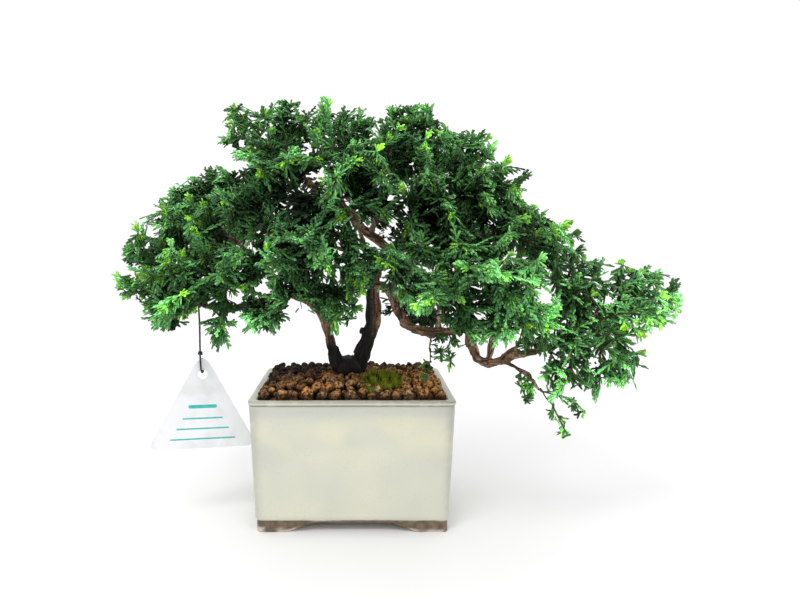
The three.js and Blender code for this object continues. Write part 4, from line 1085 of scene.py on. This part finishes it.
class Crown:
    """The leaves of the whole crown counted in small cells, to tell how deep among them a place lies
    and how much light comes through to it from above, from the front and from the sides."""

    def __init__(self, places):
        self.low = places.min(axis=0) - CROWN_MARGIN * CROWN_CELL
        cells = self.cells(places)
        leaves = np.zeros([int(c.max()) + CROWN_MARGIN + 1 for c in cells])
        np.add.at(leaves, cells, 1)
        for axis in (0, 1, 2, 0, 1, 2):
            leaves = (np.roll(leaves, 1, axis) + 2 * leaves + np.roll(leaves, -1, axis)) / 4
        self.leaves = leaves / leaves[cells].mean()
        self.light = np.zeros_like(leaves)
        for way in SKY_WAYS:
            shade = np.zeros_like(leaves)
            for step in range(1, 6):
                shift = np.round(-np.array(way) * step).astype(int)
                shade += np.roll(self.leaves, tuple(shift), (0, 1, 2))
            self.light += np.exp(-shade * CROWN_SHADE) / len(SKY_WAYS)

    def cells(self, places):
        return tuple(((places - self.low) / CROWN_CELL).astype(int).T)


# The columns of a shoot's row, which also holds its half width, its bend and its freshness.
FOOT, WAY, FACE = slice(0, 3), slice(3, 6), slice(6, 9)
LENGTH = 9
DIM = 13


class Shoots:
    """The shoots and twigs of one spray, gathered as rows and made into one mesh at the end."""

    def __init__(self, slender):
        self.slender = slender
        self.droop, self.width, self.least_light = (0.05, 0.84, 0.50) if slender else (0.16, 1.0, 0.0)
        self.reach = SIDE_LENGTH * (1.15 if slender else 1.0)
        self.dim = 1.0
        self.fine = []
        self.plain = []
        self.twigs = []

    def axis(self, rows, start, way, length, face, fresh, ends):
        """A branchlet as shoots end to end."""
        count = max(1, round(length / 0.0056))
        for k in range(count):
            last = k == count - 1
            at, heading = start + way * length * k / count, way + random.normal(0, 0.05, 3)
            green = fresh if last and ends else fresh * 0.3
            half = SHOOT_HALF * self.width * (1 if last else 0.85)
            bend = random.normal(-self.droop * last, 0.04)
            rows.append((*at, *heading, *face, length / count * 1.2, half, bend, green, self.dim))

    def fan(self, rows, start, end, face, fresh, side_length, step, ends=True, size=1.0):
        """A branchlet from start to end, with shoots to its left and right in turn."""
        length = np.linalg.norm(end - start)
        way = (end - start) / length
        side = np.cross(way, face)
        self.axis(rows, start, way, length, face, fresh, ends)
        hand = random.choice([-1, 1])
        at = step * random.uniform(0.2, 0.9)
        while at < length - 0.0008:
            share = at / length
            hand = -hand
            angle = math.radians(random.normal(SPREAD - 10 * share, 5))
            lift = random.normal(0.0, 0.12)
            heading = math.cos(angle) * way + hand * math.sin(angle) * side + lift * face
            reach = side_length * (1.1 - 0.75 * share) * random.uniform(0.75, 1.15)
            half = SHOOT_HALF * self.width * size * random.uniform(0.82, 1.06)
            bend = random.normal(-self.droop, 0.09)
            green = fresh * random.uniform(0.5, 1.1)
            rows.append((*(start + way * at), *heading, *face, reach, half, bend, green, self.dim))
            at += step * random.uniform(0.8, 1.2)

    def twig_mesh(self, first):
        """Points and faces of the twigs as five-sided tubes. Their points are counted from first."""
        points, faces = [], []
        for start, end, thick, thin in self.twigs:
            way = unit(end - start)
            side = unit(np.cross(way, (0.3, 0.9, 0.2)))
            over = np.cross(way, side)
            faces += [tuple(first + len(points) + i for i in face) for face in ring_faces(2, 5)]
            for centre, radius in ((start, thick), (end, thin)):
                for angle in np.arange(5) * 2 * math.pi / 5:
                    points.append(centre + radius * (math.cos(angle) * side + math.sin(angle) * over))
        return points, faces


def shoot_mesh(rows, light, shares, widths, tones):
    """Points, faces and colours of shoots with a ring of three points at each of the shares."""
    length, width, bend, fresh = rows[:, LENGTH:DIM].T
    way = unit(rows[:, WAY])
    side = unit(np.cross(way, rows[:, FACE]))
    up = np.cross(side, way)
    count = len(rows)
    at = shares[None, :, None]
    line = rows[:, None, FOOT] + way[:, None] * at * length[:, None, None]
    line[..., 2] += (bend * length)[:, None] * at[..., 0] ** 2
    half = widths[None, :, None] * width[:, None, None]
    rings = np.stack([
        line + side[:, None] * half, line + up[:, None] * half * SHOOT_FLATNESS,
        line - side[:, None] * half], axis=2)
    tip = rows[:, FOOT] + way * length[:, None]
    tip[:, 2] += bend * length
    points = np.concatenate([rings.reshape(count, -1, 3), tip[:, None]], axis=1)
    each = points.shape[1]
    offset = (np.arange(count) * each)[:, None, None]
    quads = np.array(ring_faces(len(shares), 3)) + offset
    ends = np.array([(each - 4 + i, each - 4 + j, each - 1) for i, j in TURNS]) + offset
    faces = quads.reshape(-1, 4).tolist() + ends.reshape(-1, 3).tolist()
    along = np.append(np.repeat(shares, 3), 1.0)
    shades = np.append(np.repeat(tones[:-1], 3), tones[-1])
    glow = (fresh * np.clip(2.5 * light, 0, 1))[:, None] * (0.2 + 0.8 * along)
    blue = np.clip(random.normal(0.5, 0.3, count), 0, 1)[:, None].repeat(each, axis=1)
    # Painted light: the light at the shoot's place in the crown, stepped along the shoot by its form.
    painted_light = (np.clip(random.normal(1.0, 0.22, count), 0.5, 1.6) * light)[:, None] * shades
    colours = np.stack([np.clip(glow, 0, 1), blue, painted_light, 0 * painted_light], axis=2)
    return points.reshape(-1, 3), faces, colours.reshape(-1, 4)


spray_nodes = sorted(name for name in frame["nodes"] if name.startswith("spray_"))
sprays = {node: Spray(node) for node in spray_nodes}
crown = Crown(np.array([
    spray.points[apex] * t + spray.middles[list(rings)[0]] * (1 - t)
    for spray in sprays.values() for apex, rings in spray.lobes for t in (0.1, 0.4, 0.7, 1.0)]))


def before_limb(places):
    """Whether each place is in the gaps of the crown through which the wood shows."""
    off = (places[:, None] - BARE_LIMB) / BARE_HALF
    return (np.linalg.norm(off, axis=2) < 1).any(axis=1)


def open_lift(places):
    """Both ends of the crown hang clear of its middle, so their low masses get more light."""
    x, z = (places - POT_MIDDLE)[:, [0, 2]].T
    return 1 + 0.9 * ramp(z, 0.176, 0.156) * ramp(np.abs(x - 0.01), 0.05, 0.07)


def hollow_shade(places):
    """How much light is left in the dark hollows between the masses of the front of the crown."""
    off = ((places - POT_MIDDLE)[:, None, [0, 2]] - HOLLOWS[:, :2]) / HOLLOWS[:, 2:4]
    deep = (HOLLOWS[:, 4] * np.exp(-((off**2).sum(axis=2) ** 1.5))).max(axis=1)
    return 1 - deep * ramp(places[:, 1], 0.03, 0.01)


def leaf_light(rows, places, least_light):
    """The light on each shoot: what comes into its place in the crown, less in clefts and hollows. The
    small growth has its own."""
    cleft = noise_at(places, 85)
    light = np.maximum(crown.light[crown.cells(places)], least_light)
    light = (0.008 + 5.5 * light**1.8) * np.clip(1 + 1.35 * cleft, 0.22, 1.8)
    light *= hollow_shade(places) * open_lift(places)
    return np.where(rows[:, DIM] < 1, rows[:, DIM] * np.clip(1 + cleft, 0.4, 1.6), light)


def twig_radius(carried):
    return min(TWIG_RADIUS[0] + 0.0010 * math.sqrt(carried), TWIG_RADIUS[1])


def grow_stem(shoots, spray, before, ring, green, longest):
    """The twig of one stem of the blade, and the shoots along it."""
    start, end = spray.middles[before], spray.middles[ring]
    carried = spray.carried[before]
    if shoots.slender:
        shoots.twigs.append((start, end, *SLENDER_TWIG))
    elif carried > TWIG_FROM:
        shoots.twigs.append((start, end, twig_radius(carried), twig_radius(spray.carried[ring])))
    if spray.run[before] > 0.2 * longest or carried <= TWIG_FROM:
        fresh = green * (spray.run[ring] / longest) ** 2
        step = STEP * (1.8 if shoots.slender else 1.4)
        shoots.fan(shoots.plain, start, end, spray.faces[ring], fresh, shoots.reach * 0.9, step, ends=False)


def grow_inwards(shoots, start, end):
    """Fans from the end of a stem to places near it that are among the leaves, but not too deep."""
    outward = unit(end - CROWN_MIDDLE)
    for _ in range(OPEN_FANS if end[0] - POT_MIDDLE[0] > OPEN_BEYOND else INNER_FANS):
        ways = unit(end - start) * 0.4 + outward * 0.3 + random.normal(0, 0.55, (6, 3)) - (0, 0, 0.15)
        tips = end + unit(ways) * random.uniform(*INNER_REACH)
        tips = np.clip(tips, np.array(cad_box[0]) + BOX_CLEAR, np.array(cad_box[1]) - BOX_CLEAR)
        leaves = crown.leaves[crown.cells(tips)]
        if leaves.max() < CROWN_EDGE:
            continue
        tip = tips[np.where(leaves < CROWN_EDGE, 100, leaves).argmin()]
        leaning = unit(tip - end)
        over = unit(np.cross(leaning, np.cross((0.1, -0.4, 1.0) + random.normal(0, 0.3, 3), leaning)))
        size = 1.35 if crown.light[crown.cells(tip[None])][0] < DARK_BELOW else 1.0
        shoots.fan(shoots.plain, end, tip, over, 0, shoots.reach * size, STEP * 1.2 * size, size=size)


def grow_lobe(shoots, spray, apex, rings, mood, longest):
    """The fine fan of one lobe of the blade, with plainer ones above, below and beside it."""
    rings = sorted(rings, key=spray.run.get)
    start = spray.middles[rings[0]]
    if len(rings) > 1:
        start = start + (spray.middles[rings[-1]] - start) * 0.4
    face = unit(spray.faces[rings].mean(axis=0))
    end = spray.points[apex]
    end = end - unit(end - start) * TIP_INSET
    patch = 0.5 + noise.noise(Vector(end) * 45)
    outer = (spray.run[rings[-1]] / longest) ** 1.5
    fresh = min(1.2, max(0, 2.6 * patch * (0.4 + 0.6 * outer) * (0.45 + 0.8 * mood)))
    shoots.fan(shoots.fine, start, end, face, fresh, shoots.reach, STEP)
    way = unit(end - start)
    side = unit(np.cross(way, face))
    for tilt, turn, share in LOBE_FANS[:2] if shoots.slender else LOBE_FANS:
        tilt = math.radians(random.normal(tilt, 7))
        turn = math.radians(random.normal(turn, 5))
        length = np.linalg.norm(end - start) * random.normal(share, 0.08)
        leaning = unit(way + math.tan(tilt) * face + math.tan(turn) * side)
        over = unit(face - leaning * face.dot(leaning))
        green = fresh * random.uniform(0.5, 1.1)
        shoots.fan(shoots.plain, start, start + leaning * length, over, green, shoots.reach * 0.9, STEP * 1.7)


def grow_spray(spray):
    """The shoots and twigs that clothe one CAD spray."""
    shoots = Shoots(slender=spray.middles[:, 2].mean() < SLENDER_BELOW)
    longest = max(spray.run.values()) + 0.01
    foot = spray.middles[spray.root]
    bark_point = np.array(wood_surface.find_nearest(foot)[0])
    thick = twig_radius(spray.carried[spray.root])
    if np.linalg.norm(foot - bark_point) > JOINED:
        shoots.twigs.append((bark_point + unit(bark_point - foot) * 0.0005, foot, thick * 1.2, thick))
    mood = random.uniform(0.1, 1.0)
    for ring, before in spray.parent.items():
        if before is None:
            continue
        grow_stem(shoots, spray, before, ring, 0.25 * mood, longest)
        if not shoots.slender:
            grow_inwards(shoots, spray.middles[before], spray.middles[ring])
    for apex, rings in spray.lobes:
        grow_lobe(shoots, spray, apex, rings, mood, longest)
    return shoots


def small_growth():
    """The fans of the small growth, by their spray: where each starts, its tip and its light."""
    rings = [(node, middle) for node, spray in sprays.items() for middle in spray.middles]
    middles = np.array([middle for _, middle in rings])
    fans = {node: [] for node in sprays}
    for x, y, z, half_across, half_up, count, light in CLOSE_GROWTH + LONG_SHOOTS:
        for _ in range(count):
            off = unit(random.normal(size=2)) * math.sqrt(random.uniform(0, 1))
            across, up = off * (half_across, half_up)
            tip = POT_MIDDLE + (x, y, z) + (across, random.normal(0, 0.005), up)
            spaces = np.linalg.norm(middles - tip, axis=1)
            nearest = spaces.argmin()
            start = middles[nearest]
            on_wood, _, _, space = wood_surface.find_nearest(tip)
            if space < spaces[nearest]:
                start = np.array(on_wood)
            if GROWTH_REACH[0] < np.linalg.norm(tip - start) < GROWTH_REACH[1]:
                fans[rings[nearest][0]].append((start, tip, light))
    return fans


def leaf_mesh(shoots):
    """Points, faces and colours of all the shoots and twigs of one spray."""
    points, faces, colours = [], [], []
    count = 0
    for rows, form in ((shoots.fine, FINE_FORM), (shoots.plain, PLAIN_FORM)):
        rows = np.array(rows)
        places = rows[:, FOOT] + rows[:, WAY] * rows[:, LENGTH, None] * 0.5
        clear = ~before_limb(places)
        rows, places = rows[clear], places[clear]
        light = leaf_light(rows, places, shoots.least_light)
        some_points, some_faces, some_colours = shoot_mesh(rows, light, *form)
        faces += [tuple(i + count for i in face) for face in some_faces]
        count += len(some_points)
        points.append(some_points)
        colours.append(some_colours)
    twig_points, twig_faces = shoots.twig_mesh(count)
    twig_colour = [0, 0.6, 0.7, 0.45] if shoots.slender else [0, 0, 0, 1.0]
    colours.append(np.tile(twig_colour, (len(twig_points), 1)))
    return np.vstack([*points, twig_points]), faces + twig_faces, np.vstack(colours)


leaf_green = leaf_finish()
growth = small_growth()
for node, spray in sprays.items():
    shoots = grow_spray(spray)
    for start, tip, light in growth[node]:
        shoots.dim = light
        leaning = unit(tip - start)
        over = unit(np.cross(leaning, np.cross((0.1, -0.6, 1.0) + random.normal(0, 0.3, 3), leaning)))
        shoots.fan(shoots.plain, start, tip, over, 0.1, SIDE_LENGTH, STEP * 1.3)
    points, faces, colours = leaf_mesh(shoots)
    leaves = make_piece(node.replace("spray", "leaves"), points, faces, leaf_green)
    paint(leaves, "leaf", colours)
    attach(leaves, "root")
    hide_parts(node)

# ---------- floor and light ----------
# A wide white floor in the even light of a light tent, with a soft lamp above the left front and a
# weaker one on the right.
FLOOR_HALF = 60
FLOOR_LEVEL = -0.0002
TENT_LIGHT = 1.06
LAMPS_POINT_AT = Vector((0, 0, 0.12))


def floor_finish():
    finish = Finish("white_floor", 0.9, 0.1)
    return finish.done(finish.blend(finish.cloud(3), (0.945, 0.945, 0.95), (0.955, 0.955, 0.955)))


floor_corners = [(x * FLOOR_HALF, y * FLOOR_HALF, FLOOR_LEVEL)
                 for x, y in ((-1, -1), (1, -1), (1, 1), (-1, 1))]
floor = make_piece("floor", floor_corners, [(0, 1, 2, 3)], floor_finish())

world = bpy.data.worlds.new("light_tent")
world.use_nodes = True
world.node_tree.nodes["Background"].inputs["Color"].default_value = (1, 1, 1, 1)
world.node_tree.nodes["Background"].inputs["Strength"].default_value = TENT_LIGHT
bpy.context.scene.world = world
bpy.context.scene.view_settings.view_transform = "Standard"


def soft_light(name, place, power, across):
    lamp = bpy.data.lights.new(name, "AREA")
    lamp.energy = power
    lamp.shape = "DISK"
    lamp.size = across
    holder = add_object(name, lamp)
    holder.location = place
    holder.rotation_euler = (LAMPS_POINT_AT - Vector(place)).to_track_quat("-Z", "Y").to_euler()


soft_light("key", (-0.5, -0.8, 1.3), 5, 0.5)
soft_light("fill", (0.9, -0.7, 0.8), 1.5, 0.8)
